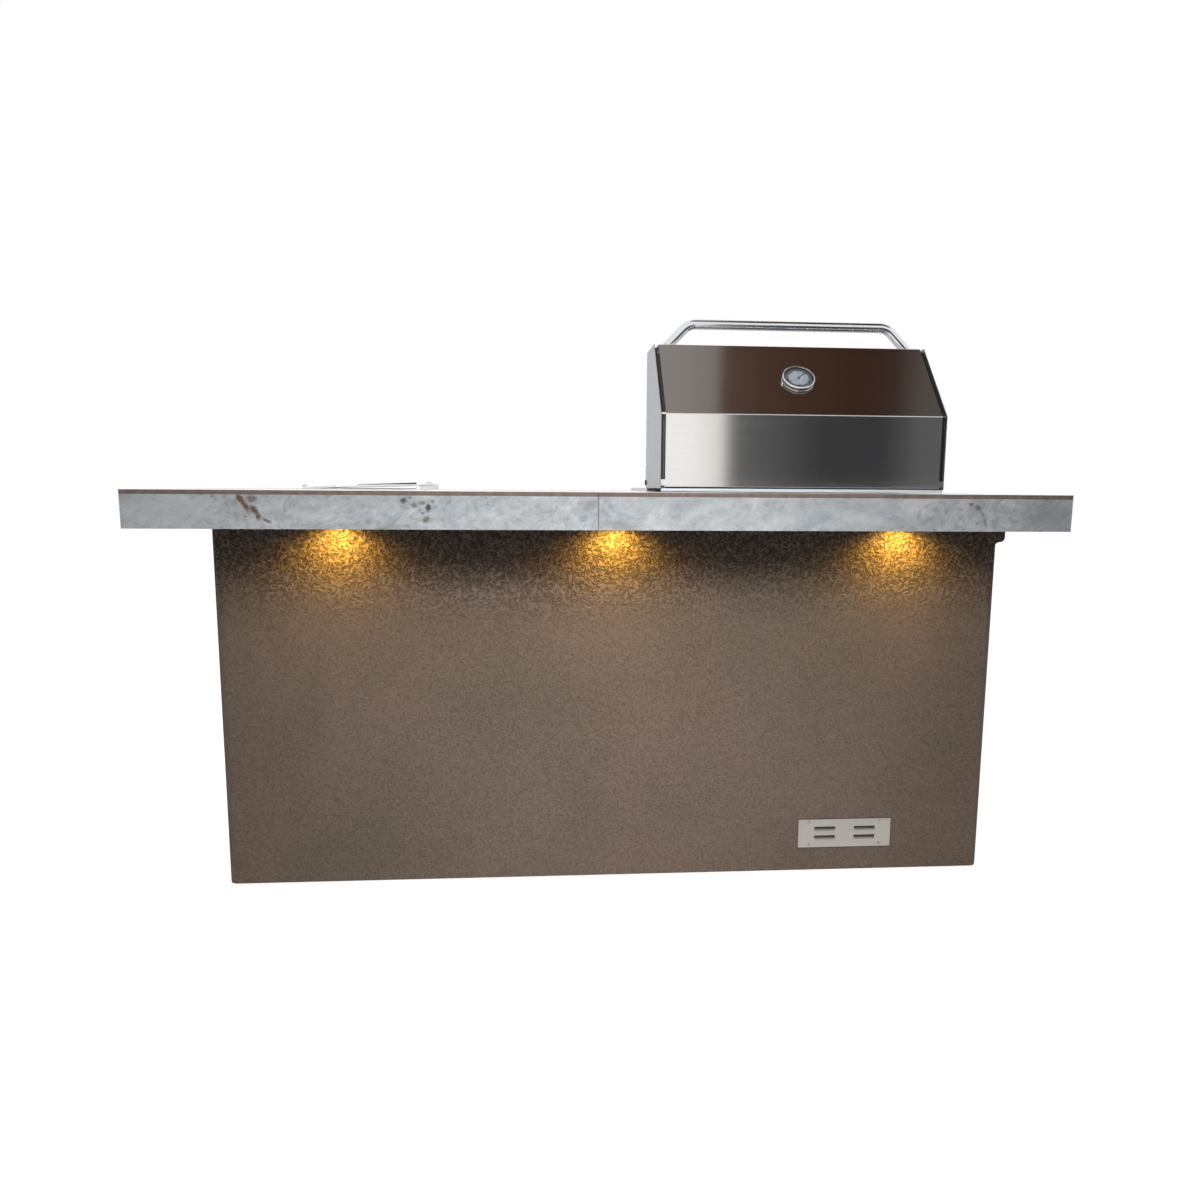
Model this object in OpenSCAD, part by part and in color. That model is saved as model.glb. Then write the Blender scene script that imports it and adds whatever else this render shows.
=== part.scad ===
// Outdoor kitchen island: a stucco body on a steel tube frame, a porcelain counter with
// a lit bar overhang, a built-in gas grill with its hood open, and an ice bin.
// Millimetres. +X runs along the counter, +Y from the bar side to the chef side, +Z up.

/* [Counter] */
// Length of the counter, end to end
counter_l = 1980; // [1720:10:2400]
// Depth of the counter, from the bar edge to the chef edge
counter_d = 985; // [890:5:1150]
// Height of the counter top above the floor
counter_h = 914; // [890:2:1070]
// Thickness of the porcelain slabs
slab_t = 9; // [6:1:20]
// Height of the apron strips below the slabs
apron_h = 69; // [62:1:110]
// Thickness of the apron strips
apron_t = 9; // [6:1:14]
// Thickness of the deck board under the slabs
deck_t = 19; // [12:1:25]
// Thickness of the soffit board under the overhangs
soffit_t = 12; // [9:1:18]
// Distance of the slab joint from the left end
joint_from_left = 957; // [780:1:1060]
// Width of the joint between the two slabs
joint_w = 1.2; // [0.8:0.1:3]
// Radius of the counter's corners in plan
counter_corner_r = 8; // [4:1:20]
// Overhang on the bar side
bar_overhang = 183; // [160:1:260]
// Overhang on the left end
left_overhang = 110; // [70:1:160]
// Overhang on the right end
right_overhang = 70; // [50:1:120]
// Overhang on the chef side
chef_overhang = 25; // [18:1:40]

/* [Body] */
// Thickness of the stucco coat
stucco_t = 10; // [6:1:16]
// Thickness of the cement boards
board_t = 12.5; // [9:0.5:19]
// Radius of the stucco at the vertical corners
stucco_corner_r = 20; // [8:1:28]
// Gap between the stucco and the floor
skirt_gap = 4; // [3:1:12]
// Width of the square frame tube
tube_w = 38; // [30:1:50]
// Wall of the square frame tube
tube_wall = 2; // [1.5:0.5:4]
// Height of the levelling feet under the frame
foot_h = 12; // [9:1:30]
// Margin of the foot pads inside the tube's width
foot_margin = 1; // [0.5:0.5:4]
// Projection of the corbel under the right overhang
corbel_out = 25; // [15:1:45]
// Height of the corbel
corbel_h = 48; // [30:1:80]

/* [Vents] */
// Width of a vent plate
vent_w = 229; // [200:1:300]
// Height of a vent plate
vent_h = 71; // [60:1:100]
// Distance of the bar-side vent from the body's right end
vent_from_right = 226; // [60:1:500]
// Height of the vents' lower edge above the floor
vent_z = 61; // [56:1:200]
// Width of one louvre
louvre_w = 54; // [35:1:70]
// Height of one louvre
louvre_h = 11; // [7:1:14]
// Depth that a louvre is pressed in
louvre_in = 7; // [4:1:10]

/* [Lights] */
// Distance of the lights from the bar-side stucco
light_from_wall = 46; // [42:1:90]
// Radius of a light's body
light_r = 26; // [18:1:30]
// Thickness of a light's visible rim
light_rim_t = 3; // [2:0.5:5]

/* [Ice bin] */
// Distance of the bin's lid from the counter's left end
bin_from_left = 232; // [180:1:330]
// Distance of the bin's lid from the chef edge
bin_from_chef = 95; // [80:1:180]
// Width of the lid, along the counter
lid_w = 300; // [260:1:360]
// Depth of the lid
lid_d = 420; // [340:1:440]
// Thickness of the lid
lid_t = 4; // [3:0.5:8]
// Slope of the shut lid, which sheds rain towards its hinge
lid_slope = 1.7; // [1:0.1:3]
// Depth of the bin below the counter top
bin_drop = 260; // [160:1:300]
// Thickness of the insulating jacket round the bin
bin_jacket_t = 15; // [8:1:30]

/* [Grill] */
// Width of the hood
hood_w = 691; // [620:1:760]
// Depth of the hood, from its back to its front, when shut
hood_d = 354; // [330:1:380]
// Height of the hood when shut
hood_h = 315; // [270:1:360]
// Depth of the hood's flat top
hood_top_d = 174; // [140:1:200]
// Height of the hood's front panel
hood_front_h = 152; // [120:1:180]
// Angle to which the hood opens
hood_open = 90; // [60:1:90]
// Distance of the hood's hinge from the chef edge
hinge_from_chef = 410; // [400:1:450]
// Distance of the grill from the counter's right end
grill_from_right = 171; // [140:1:230]
// Distance of the hinge pin from the hood's back and lower edges
hinge_inset = 14; // [12:1:20]
// Height of the grill's rim above the counter
rim_h = 8; // [6:1:14]
// Depth of the firebox below the counter top
firebox_drop = 170; // [150:1:185]
// Thickness of the grill's steel sheet
sheet_t = 1.5; // [1:0.1:2.5]
// Width of the reveal between the hood's ends and its skin
reveal_w = 10; // [6:1:14]
// Height of the control panel
panel_h = 120; // [105:1:130]
// Distance of the control panel's face beyond the counter's chef edge
panel_out = 30; // [24:1:50]
// Radius of a control knob
knob_r = 24; // [18:1:30]
// Length of a control knob
knob_l = 26; // [20:1:35]

/* [Hood fittings] */
// Radius of the handle tube
handle_r = 12.5; // [8:0.5:15]
// Wall of the handle tube
handle_wall = 2; // [1:0.5:3]
// Half of the straight length of the handle
handle_half = 236; // [180:1:250]
// Distance of the handle's centre from the hood's front panel
handle_off = 54; // [46:1:66]
// Height of the handle above the hinge
handle_up = 108; // [90:1:112]
// Radius of the thermometer's bezel
thermo_r = 40; // [30:1:50]
// Height of the thermometer's bezel above the hood
thermo_h = 13; // [11:1:18]

/* [Doors and drawers] */
// Height of the door and drawer openings' lower edge
unit_z = 110; // [90:1:140]
// Height of the door opening
door_unit_h = 560; // [480:1:570]
// Height of the drawer unit
drawer_unit_h = 470; // [420:1:500]
// Width of the drawer unit
drawer_unit_w = 420; // [360:1:460]
// Distance of the drawer unit from the body's left end
drawer_from_left = 150; // [110:1:200]
// Width of the steel flange round the units
unit_flange = 22; // [16:1:30]
// Thickness of a door or drawer front
front_t = 16; // [12:1:22]
// Depth of the drawers
drawer_d = 400; // [320:1:440]

/* [Hidden] */

$fn = 48;

// Clearances and overruns
over = 1;              // a cut runs this far past the face it opens
fit = 0.3;             // seat of a fixed piece
run_fit = 0.08;        // radial clearance of a turning pin
slide_fit = 0.5;       // clearance of a drawer or tray

// Heights of the counter's layers
slab_z = counter_h - slab_t;
deck_z = slab_z - deck_t;
apron_z = slab_z - apron_h;
soffit_top = apron_z + soffit_t;
bracket_h = deck_z - soffit_top;

// Plan of the counter and the body
knob_bezel_t = 6;
total_d = counter_d + panel_out + knob_bezel_t + fit + knob_l;
x_left = -counter_l / 2;
x_right = counter_l / 2;
y_bar = -total_d / 2;
y_chef = y_bar + counter_d;
body_x0 = x_left + left_overhang;
body_x1 = x_right - right_overhang;
body_y0 = y_bar + bar_overhang;
body_y1 = y_chef - chef_overhang;
body_d = body_y1 - body_y0;
skin_t = stucco_t + board_t;
frame_x0 = body_x0 + skin_t;
frame_x1 = body_x1 - skin_t;
frame_y0 = body_y0 + skin_t;
frame_y1 = body_y1 - skin_t;
joint_x = x_left + joint_from_left;

// Grill places
hood_x1 = x_right - grill_from_right;
hood_x0 = hood_x1 - hood_w;
hood_mid = (hood_x0 + hood_x1) / 2;
hinge_y = y_chef - hinge_from_chef;
hood_gap = 0.7;
hinge_z = counter_h + rim_h + hood_gap + hinge_inset;
hood_back = -hinge_inset;
hood_low = -hinge_inset;
hood_top = hood_h - hinge_inset;
hood_front = hood_d - hinge_inset;
hood_fold = hood_top_d - hinge_inset;
hood_brow = hood_front_h - hinge_inset;
hood_slope = atan((hood_top - hood_brow) / (hood_front - hood_fold));
cap_t = 2;
pin_r = 4;
pin_head_r = 7;
pin_head_t = 3;
firebox_side = 20;
firebox_back = 8;
firebox_front = 10;
box_x0 = hood_x0 + firebox_side;
box_x1 = hood_x1 - firebox_side;
box_y0 = hinge_y + hood_back + firebox_back;
box_y1 = hinge_y + hood_front - firebox_front;
box_z0 = counter_h - firebox_drop;
rim_lap = 5;
rim_y0 = hinge_y + hood_back - rim_lap;
rim_y1 = hinge_y + hood_front + rim_lap;
cut_clear = 4;
cut_x0 = box_x0 - cut_clear;
cut_x1 = box_x1 + cut_clear;
cut_y0 = box_y0 - cut_clear;
panel_face = y_chef + panel_out;
panel_top = counter_h + rim_h;
panel_z = panel_top - panel_h;
panel_cover = 6;
panel_cut_z = panel_z + panel_cover;

// Units in the chef side
door_x0 = hood_x0;
door_w = hood_w;
door_z = unit_z;
drawer_x0 = body_x0 + drawer_from_left;
tray_w = 430;
tray_h = 30;
tray_fascia_h = 46;
tray_slot_w = tray_w + 2 * slide_fit;
tray_top_gap = 4;
tray_z = box_z0 - tray_top_gap - tray_h;
tray_slot_over = 3;

// Posts of the frame, and the bracket midway between the first two
post_xs = [frame_x0, cut_x0 - cut_clear - tube_w, cut_x1 + cut_clear, frame_x1 - tube_w];
bracket_mid_x = (post_xs[0] + post_xs[1]) / 2;

// One light in each wide bay between the brackets
light_shares = [0.5, 0.8, 0.8];
light_bays = [
    [post_xs[0] + tube_w, bracket_mid_x],
    [bracket_mid_x + tube_w, post_xs[1]],
    [post_xs[1] + tube_w, post_xs[2]]
];
light_xs = [for (i = [0 : 2]) light_bays[i][0] + (light_bays[i][1] - light_bays[i][0]) * light_shares[i]];
light_y = body_y0 - light_from_wall;

// Ice bin
lid_x0 = x_left + bin_from_left;
lid_y0 = y_chef - bin_from_chef - lid_d;
bin_lap = 18;
bin_x0 = lid_x0 + bin_lap;
bin_x1 = lid_x0 + lid_w - bin_lap;
bin_y0 = lid_y0 + bin_lap;
bin_y1 = lid_y0 + lid_d - bin_lap;
bin_flange_t = 2;
bin_floor_z = counter_h - bin_drop;
lid_pin_r = 2;

// Shared shapes

module box(lo, hi) {
    translate(lo) cube(hi - lo);
}

// Square tubes: from a to b along X, Y or Z, with their low corner at p
module tube_x(p, l, w = tube_w, h = tube_w) {
    translate(p) difference() {
        cube([l, w, h]);
        translate([-over, tube_wall, tube_wall])
            cube([l + 2 * over, w - 2 * tube_wall, h - 2 * tube_wall]);
    }
}

module tube_y(p, l, w = tube_w, h = tube_w) {
    translate(p) difference() {
        cube([w, l, h]);
        translate([tube_wall, -over, tube_wall])
            cube([w - 2 * tube_wall, l + 2 * over, h - 2 * tube_wall]);
    }
}

module tube_z(p, l) {
    translate(p) difference() {
        cube([tube_w, tube_w, l]);
        translate([tube_wall, tube_wall, -over])
            cube([tube_w - 2 * tube_wall, tube_w - 2 * tube_wall, l + 2 * over]);
    }
}

module rounded_plan(x0, y0, x1, y1, r) {
    translate([x0 + r, y0]) square([x1 - x0 - 2 * r, y1 - y0]);
    translate([x0, y0 + r]) square([x1 - x0, y1 - y0 - 2 * r]);
    for (x = [x0 + r, x1 - r], y = [y0 + r, y1 - r]) translate([x, y]) circle(r);
}

module plate(x0, y0, x1, y1, r, z, t) {
    translate([0, 0, z]) linear_extrude(t) rounded_plan(x0, y0, x1, y1, r);
}

module rod(p, q, r) {
    d = q - p;
    translate(p)
        rotate([0, acos(d[2] / norm(d)), atan2(d[1], d[0])])
            cylinder(h = norm(d), r = r);
}

// Frame

frame_z = foot_h;
post_z = frame_z + tube_w;
top_rail_z = deck_z - tube_w;
between_rails = frame_y1 - frame_y0 - 2 * tube_w;

module base_frame() {
    color("gainsboro") {
        for (y = [frame_y0, frame_y1 - tube_w])
            tube_x([frame_x0, y, frame_z], frame_x1 - frame_x0);
        for (x = post_xs)
            tube_y([x, frame_y0 + tube_w, frame_z], between_rails);
    }
}

module frame_posts() {
    color("gainsboro")
        for (x = post_xs, y = [frame_y0, frame_y1 - tube_w])
            tube_z([x, y, post_z], top_rail_z - post_z);
}

module top_frame() {
    color("gainsboro") {
        tube_x([frame_x0, frame_y0, top_rail_z], frame_x1 - frame_x0);
        tube_x([frame_x0, frame_y1 - tube_w, top_rail_z], post_xs[1] + tube_w - frame_x0);
        tube_x([post_xs[2], frame_y1 - tube_w, top_rail_z], frame_x1 - post_xs[2]);
        for (x = post_xs)
            tube_y([x, frame_y0 + tube_w, top_rail_z], between_rails);
    }
}

cable_way = 30;
side_bracket_ys = [frame_y0 + tube_w, frame_y1 - 2 * tube_w];

module overhang_brackets() {
    bracket_y = y_bar + apron_t + cable_way;
    color("slategray") {
        for (x = concat(post_xs, [bracket_mid_x]))
            tube_y([x, bracket_y, soffit_top], frame_y0 - bracket_y, tube_w, bracket_h);
        for (y = side_bracket_ys) {
            tube_x([x_left + apron_t, y, soffit_top], frame_x0 - x_left - apron_t,
                tube_w, bracket_h);
            tube_x([frame_x1, y, soffit_top], x_right - apron_t - frame_x1,
                tube_w, bracket_h);
        }
    }
}

foot_pad_t = 6;
foot_stem_r = 5;
foot_r = tube_w / 2 - foot_margin;

module levelling_feet() {
    color("dimgray")
        for (x = post_xs, y = [frame_y0, frame_y1 - tube_w])
            translate([x + tube_w / 2, y + tube_w / 2, 0]) {
                cylinder(h = foot_pad_t, r = foot_r);
                cylinder(h = foot_h, r = foot_stem_r);
            }
}

// Vents

vent_t = 1.2;
vent_hole_margin = 15;
vent_hole_gap = 7;
vent_screw_r = 2;
vent_screw_head_r = 4;
vent_screw_head_t = 1.6;
vent_screw_l = 18;
vent_screw_side = 27;
vent_screw_edge = 7;
louvre_gap = 44;
louvre_row_gap = 11;
vent_x0 = body_x1 - vent_from_right - vent_w;
louvre_xs = [(vent_w - louvre_gap) / 2 - louvre_w, (vent_w + louvre_gap) / 2];
vent_left_y0 = (body_y0 + body_y1 - vent_w) / 2;

// Places a vent's own frame on the bar side, then on the left end
module at_vents() {
    translate([vent_x0, body_y0, vent_z]) children();
    translate([body_x0, vent_left_y0 + vent_w, vent_z]) rotate([0, 0, -90]) children();
}

module louvre_hole(x, z) {
    translate([x, -vent_t - over, z]) cube([louvre_w, vent_t + 2 * over, louvre_h]);
}

// The sheet below a slit, pressed in from its foot to its upper edge, with two cheeks
module louvre_blade(x, z) {
    blade = [
        [-vent_t, z], [0, z], [louvre_in, z + louvre_h - vent_t],
        [louvre_in - vent_t, z + louvre_h - vent_t]
    ];
    cheek = [[-vent_t, z], [0, z], [louvre_in, z + louvre_h - vent_t],
        [louvre_in, z + louvre_h], [-vent_t, z + louvre_h]];
    translate([x + louvre_w, 0, 0]) rotate([90, 0, -90]) {
        linear_extrude(louvre_w) polygon([for (p = blade) [-p[0], p[1]]]);
        linear_extrude(vent_t) polygon([for (p = cheek) [-p[0], p[1]]]);
        translate([0, 0, louvre_w - vent_t])
            linear_extrude(vent_t) polygon([for (p = cheek) [-p[0], p[1]]]);
    }
}

louvre_zs = [(vent_h - louvre_row_gap) / 2 - louvre_h, (vent_h + louvre_row_gap) / 2];

module vent_plate() {
    difference() {
        translate([0, -vent_t, 0]) cube([vent_w, vent_t, vent_h]);
        for (x = louvre_xs, z = louvre_zs) louvre_hole(x, z);
        for (x = [vent_screw_side, vent_w - vent_screw_side],
             z = [vent_screw_edge, vent_h - vent_screw_edge])
            translate([x, over, z]) rotate([90, 0, 0])
                cylinder(h = vent_t + 2 * over, r = vent_screw_r + fit);
    }
    for (x = louvre_xs, z = louvre_zs) louvre_blade(x, z);
}

module vent_plates() {
    color("silver") at_vents() vent_plate();
}

module vent_screws() {
    color("gray") at_vents()
        for (x = [vent_screw_side, vent_w - vent_screw_side],
             z = [vent_screw_edge, vent_h - vent_screw_edge])
            translate([x, -vent_t, z]) {
                rotate([90, 0, 0]) cylinder(h = vent_screw_head_t, r = vent_screw_head_r);
                rotate([-90, 0, 0]) cylinder(h = vent_screw_l, r = vent_screw_r);
            }
}

// The hole behind a vent plate, and the pilot holes for its screws
module vent_cuts() {
    deep = skin_t + over;
    at_vents() {
        translate([vent_screw_side + vent_hole_gap, -over, vent_hole_margin])
            cube([vent_w - 2 * (vent_screw_side + vent_hole_gap), deep + over,
                vent_h - 2 * vent_hole_margin]);
        for (x = [vent_screw_side, vent_w - vent_screw_side],
             z = [vent_screw_edge, vent_h - vent_screw_edge])
            translate([x, -over, z]) rotate([-90, 0, 0])
                cylinder(h = deep + over, r = vent_screw_r + fit);
    }
}

// Openings in the chef side

module chef_cuts() {
    y0 = body_y1 - skin_t - over;
    y1 = body_y1 + over;
    sleeve = fit;
    box([cut_x0, y0, panel_cut_z], [cut_x1, y1, counter_h]);
    box([hood_mid - tray_slot_w / 2 - sleeve, y0, tray_z - tray_slot_over],
        [hood_mid + tray_slot_w / 2 + sleeve, y1, tray_z + tray_h + tray_slot_over]);
    box([door_x0 + unit_flange - sleeve, y0, door_z + unit_flange - sleeve],
        [door_x0 + door_w - unit_flange + sleeve, y1,
            door_z + door_unit_h - unit_flange + sleeve]);
    box([drawer_x0 + unit_flange - sleeve, y0, unit_z + unit_flange - sleeve],
        [drawer_x0 + drawer_unit_w - unit_flange + sleeve, y1,
            unit_z + drawer_unit_h - unit_flange + sleeve]);
}

// Boards and stucco

board_y0 = body_y0 + stucco_t;
board_y1 = body_y1 - stucco_t;
board_x0 = body_x0 + stucco_t;
board_x1 = body_x1 - stucco_t;

module board_bar_side() {
    color("darkgray") difference() {
        box([board_x0, board_y0, skirt_gap], [board_x1, frame_y0, soffit_top]);
        vent_cuts();
    }
}

module board_left_end() {
    color("darkgray") difference() {
        box([board_x0, frame_y0, skirt_gap], [frame_x0, frame_y1, soffit_top]);
        vent_cuts();
    }
}

module board_right_end() {
    color("darkgray")
        box([frame_x1, frame_y0, skirt_gap], [board_x1, frame_y1, soffit_top]);
}

module board_chef_side() {
    color("darkgray") difference() {
        box([board_x0, frame_y1, skirt_gap], [board_x1, board_y1, soffit_top]);
        chef_cuts();
    }
}

module stucco_coat() {
    color("#6b5d52") difference() {
        plate(body_x0, body_y0, body_x1, body_y1, stucco_corner_r, skirt_gap,
            apron_z - skirt_gap);
        box([board_x0, board_y0, -over], [board_x1, board_y1, counter_h]);
        vent_cuts();
        chef_cuts();
    }
}

// A stucco cove along the right end, under the soffit, with a rounded nose and foot
nose_share = 0.45;

module end_corbel() {
    nose = corbel_out * nose_share;
    foot = corbel_out - nose;
    face = corbel_h - nose - foot;
    color("#5a4d43")
        translate([body_x1, body_y1 - stucco_corner_r, apron_z]) rotate([90, 0, 0])
            linear_extrude(body_d - 2 * stucco_corner_r) {
                translate([0, -face]) square([corbel_out, face]);
                translate([0, -face - nose]) square([foot, nose]);
                intersection() {
                    translate([foot, -face]) circle(nose);
                    translate([foot, -face - nose]) square(nose);
                }
                difference() {
                    translate([0, -corbel_h]) square(foot);
                    translate([foot, -corbel_h]) circle(foot);
                }
            }
}

// Counter

module counter_cuts() {
    box([cut_x0, cut_y0, apron_z - over], [cut_x1, y_chef + over, counter_h + over]);
    box([bin_x0 - cut_clear / 2, bin_y0 - cut_clear / 2, apron_z - over],
        [bin_x1 + cut_clear / 2, bin_y1 + cut_clear / 2, counter_h + over]);
}

module counter_deck() {
    color("burlywood") difference() {
        box([x_left + apron_t, y_bar + apron_t, deck_z],
            [x_right - apron_t, y_chef - apron_t, slab_z]);
        counter_cuts();
    }
}

module soffit_board() {
    color("darkgray") difference() {
        box([x_left + apron_t, y_bar + apron_t, apron_z],
            [x_right - apron_t, y_chef - apron_t, soffit_top]);
        box([board_x0, board_y0, apron_z - over], [board_x1, board_y1, soffit_top + over]);
        box([cut_x0, board_y1 - over, apron_z - over], [cut_x1, y_chef, soffit_top + over]);
        for (x = light_xs) translate([x, light_y, apron_z - over])
            cylinder(h = soffit_t + 2 * over, r = light_r + fit);
    }
}

module top_slab(x0, x1) {
    difference() {
        intersection() {
            plate(x_left, y_bar, x_right, y_chef, counter_corner_r, slab_z, slab_t);
            box([x0, y_bar, slab_z], [x1, y_chef, counter_h]);
        }
        counter_cuts();
    }
}

module top_slab_left() {
    color("lightsteelblue") top_slab(x_left, joint_x - joint_w / 2);
}

module top_slab_right() {
    color("lightsteelblue") top_slab(joint_x + joint_w / 2, x_right);
}

module apron_ring() {
    difference() {
        plate(x_left, y_bar, x_right, y_chef, counter_corner_r, apron_z, apron_h);
        box([x_left + apron_t, y_bar + apron_t, apron_z - over],
            [x_right - apron_t, y_chef - apron_t, counter_h]);
    }
}

module apron_between(lo, hi) {
    intersection() {
        apron_ring();
        box(lo, hi);
    }
}

module apron_bar_left() {
    color("lightgray") apron_between([x_left, y_bar, apron_z],
        [joint_x - joint_w / 2, y_bar + apron_t, slab_z]);
}

module apron_bar_right() {
    color("lightgray") apron_between([joint_x + joint_w / 2, y_bar, apron_z],
        [x_right, y_bar + apron_t, slab_z]);
}

module apron_ends() {
    color("lightgray") for (x = [x_left, x_right - apron_t])
        apron_between([x, y_bar + apron_t, apron_z], [x + apron_t, y_chef - apron_t, slab_z]);
}

module apron_chef_side() {
    color("lightgray") {
        apron_between([x_left, y_chef - apron_t, apron_z], [cut_x0, y_chef, slab_z]);
        apron_between([cut_x1, y_chef - apron_t, apron_z], [x_right, y_chef, slab_z]);
    }
}

// Lights

lens_r = 20;
lens_t = 2;
light_rim_w = 5;
light_top = 8;
gland_w = 8;
cable_r = 3;
tee_r = 4;
cable_y = y_bar + apron_t + cable_way / 2;
driver_l = 150;
driver_w = 46;
driver_h = 24;
driver_gap = 20;
driver_x0 = light_bays[1][0] + driver_gap;

module light_housings() {
    color("dimgray") for (x = light_xs) translate([x, light_y, apron_z]) {
        difference() {
            union() {
                translate([0, 0, -light_rim_t])
                    cylinder(h = light_rim_t, r = light_r + light_rim_w);
                cylinder(h = soffit_t + light_top, r = light_r);
                translate([-gland_w / 2, -light_r - gland_w / 2, soffit_t + fit])
                    cube([gland_w, light_r, 2 * tee_r]);
            }
            translate([0, 0, -light_rim_t - over])
                cylinder(h = lens_t + over, r = lens_r + fit);
        }
    }
}

module light_lenses() {
    color("gold") for (x = light_xs) translate([x, light_y, apron_z - light_rim_t])
        cylinder(h = lens_t, r = lens_r);
}

module light_driver() {
    color("whitesmoke")
        box([driver_x0, light_y - driver_w / 2, soffit_top],
            [driver_x0 + driver_l, light_y + driver_w / 2, soffit_top + driver_h]);
}

// One lead lies on the soffit by the apron. Moulded tees branch it to the lights and the driver.
module light_cable() {
    z = soffit_top + fit + tee_r;
    driver_x = driver_x0 + driver_l / 2;
    branches = concat(
        [for (x = light_xs) [x, light_y - light_r - gland_w / 2]],
        [[driver_x, light_y - driver_w / 2]]
    );
    color("black") {
        rod([light_xs[0], cable_y, z], [light_xs[2], cable_y, z], cable_r);
        for (b = branches) {
            rod([b[0], cable_y, z], [b[0], b[1], z], cable_r);
            box([b[0] - tee_r, cable_y - tee_r, z - tee_r], [b[0] + tee_r, cable_y + tee_r, z + tee_r]);
        }
    }
}

// Ice bin

lid_gap = 2;
lid_stop_w = 10;
lid_ear_w = 12;
lid_ear_t = 3;
lid_ear_r = lid_pin_r + fit + sheet_t;
lid_ear_inset = 40;
lid_ear_ys = [lid_y0 + lid_ear_inset, lid_y0 + lid_d - lid_ear_inset - lid_ear_w];
lid_hinge_z = counter_h + bin_flange_t + fit + lid_ear_r;
lid_stop_h = (lid_w - lid_stop_w - 2 * lid_ear_r) * sin(lid_slope);
drain_r = 12;
drain_l = 40;

drain_mid = [(bin_x0 + bin_x1) / 2, (bin_y0 + bin_y1) / 2];
liner_x0 = bin_x0 + bin_jacket_t;
liner_x1 = bin_x1 - bin_jacket_t;
liner_y0 = bin_y0 + bin_jacket_t;
liner_y1 = bin_y1 - bin_jacket_t;
liner_z0 = bin_floor_z + bin_jacket_t;

// A steel liner that hangs in the counter by its flange, with ears for the lid's pins
module ice_bin() {
    flange_top = counter_h + bin_flange_t;
    color("silver") difference() {
        union() {
            box([liner_x0, liner_y0, liner_z0], [liner_x1, liner_y1, flange_top]);
            box([lid_x0, lid_y0, counter_h], [lid_x0 + lid_w, lid_y0 + lid_d, flange_top]);
            box([lid_x0 + lid_w - lid_stop_w, lid_y0, counter_h],
                [lid_x0 + lid_w - fit, lid_y0 + lid_d, flange_top + lid_stop_h]);
            for (y = lid_ear_ys, side = [-lid_ear_t - fit, lid_ear_w + fit])
                translate([lid_x0, y + side, flange_top - fit])
                    cube([2 * lid_ear_r, lid_ear_t, lid_hinge_z + lid_ear_r - flange_top + fit]);
            translate([drain_mid[0], drain_mid[1], bin_floor_z - drain_l])
                cylinder(h = drain_l + bin_jacket_t + over, r = drain_r);
        }
        box([liner_x0 + sheet_t, liner_y0 + sheet_t, liner_z0 + sheet_t],
            [liner_x1 - sheet_t, liner_y1 - sheet_t, flange_top + over]);
        translate([drain_mid[0], drain_mid[1], bin_floor_z - drain_l - over])
            cylinder(h = drain_l + bin_jacket_t + 2 * over + sheet_t, r = drain_r - 2 * sheet_t);
        for (y = lid_ear_ys)
            translate([lid_x0 + lid_ear_r, y - lid_ear_t - fit - over, lid_hinge_z])
                rotate([-90, 0, 0])
                    cylinder(h = lid_ear_w + 2 * (lid_ear_t + fit + over),
                        r = lid_pin_r + run_fit);
    }
}

// Foam round the liner, from its floor to the underside of the flange
module ice_bin_jacket() {
    color("whitesmoke") difference() {
        box([bin_x0, bin_y0, bin_floor_z], [bin_x1, bin_y1, counter_h]);
        box([liner_x0, liner_y0, liner_z0], [liner_x1, liner_y1, counter_h + over]);
        translate([drain_mid[0], drain_mid[1], bin_floor_z - over])
            cylinder(h = bin_jacket_t + 2 * over, r = drain_r + fit);
    }
}

lid_pull_w = 120;
lid_pull_h = 6;
lid_pull_t = 3;

// A folded sheet, hollow underneath, whose ears turn on the pins
module ice_bin_lid() {
    plate_x0 = lid_ear_r + lid_gap;
    plate_x1 = lid_w - lid_ear_r;
    color("lightgray") translate([lid_x0 + lid_ear_r, lid_y0, lid_hinge_z])
        rotate([0, -lid_slope, 0]) difference() {
            union() {
                difference() {
                    box([plate_x0, 0, -lid_ear_r], [plate_x1, lid_d, lid_t - lid_ear_r]);
                    box([plate_x0 + lid_ear_w, sheet_t, -lid_ear_r - over],
                        [plate_x1 - sheet_t, lid_d - sheet_t, lid_t - lid_ear_r - sheet_t]);
                }
                for (y = lid_ear_ys) translate([0, y - lid_y0, 0]) {
                    rotate([-90, 0, 0]) cylinder(h = lid_ear_w, r = lid_ear_r);
                    translate([0, 0, -lid_ear_r]) cube([2 * lid_ear_r, lid_ear_w, lid_t]);
                }
                translate([plate_x1 - lid_pull_t, (lid_d - lid_pull_w) / 2, -lid_ear_r])
                    cube([lid_pull_t, lid_pull_w, lid_t + lid_pull_h]);
            }
            for (y = lid_ear_ys) translate([0, y - lid_y0 - over, 0])
                rotate([-90, 0, 0])
                    cylinder(h = lid_ear_w + 2 * over, r = lid_pin_r + run_fit);
        }
}

module ice_bin_lid_pins() {
    color("gray") for (y = lid_ear_ys)
        translate([lid_x0 + lid_ear_r, y - lid_ear_t - fit, lid_hinge_z])
            rotate([-90, 0, 0]) cylinder(h = lid_ear_w + 2 * (lid_ear_t + fit), r = lid_pin_r);
}

// Firebox

bracket_t = 4;
bracket_w = 16;
ledge_w = 10;
tamer_drop = 78;
grate_drop = 24;
burner_drop = 96;
tamer_z = counter_h - tamer_drop;
grate_z = counter_h - grate_drop;
burner_z = counter_h - burner_drop;
burner_r = 12;
burner_count = 3;
burner_pitch = (box_x1 - box_x0) / burner_count;
burner_xs = [for (i = [0 : burner_count - 1]) box_x0 + burner_pitch * i + burner_pitch / 2];
grease_w = 260;
grease_d = 120;

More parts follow.
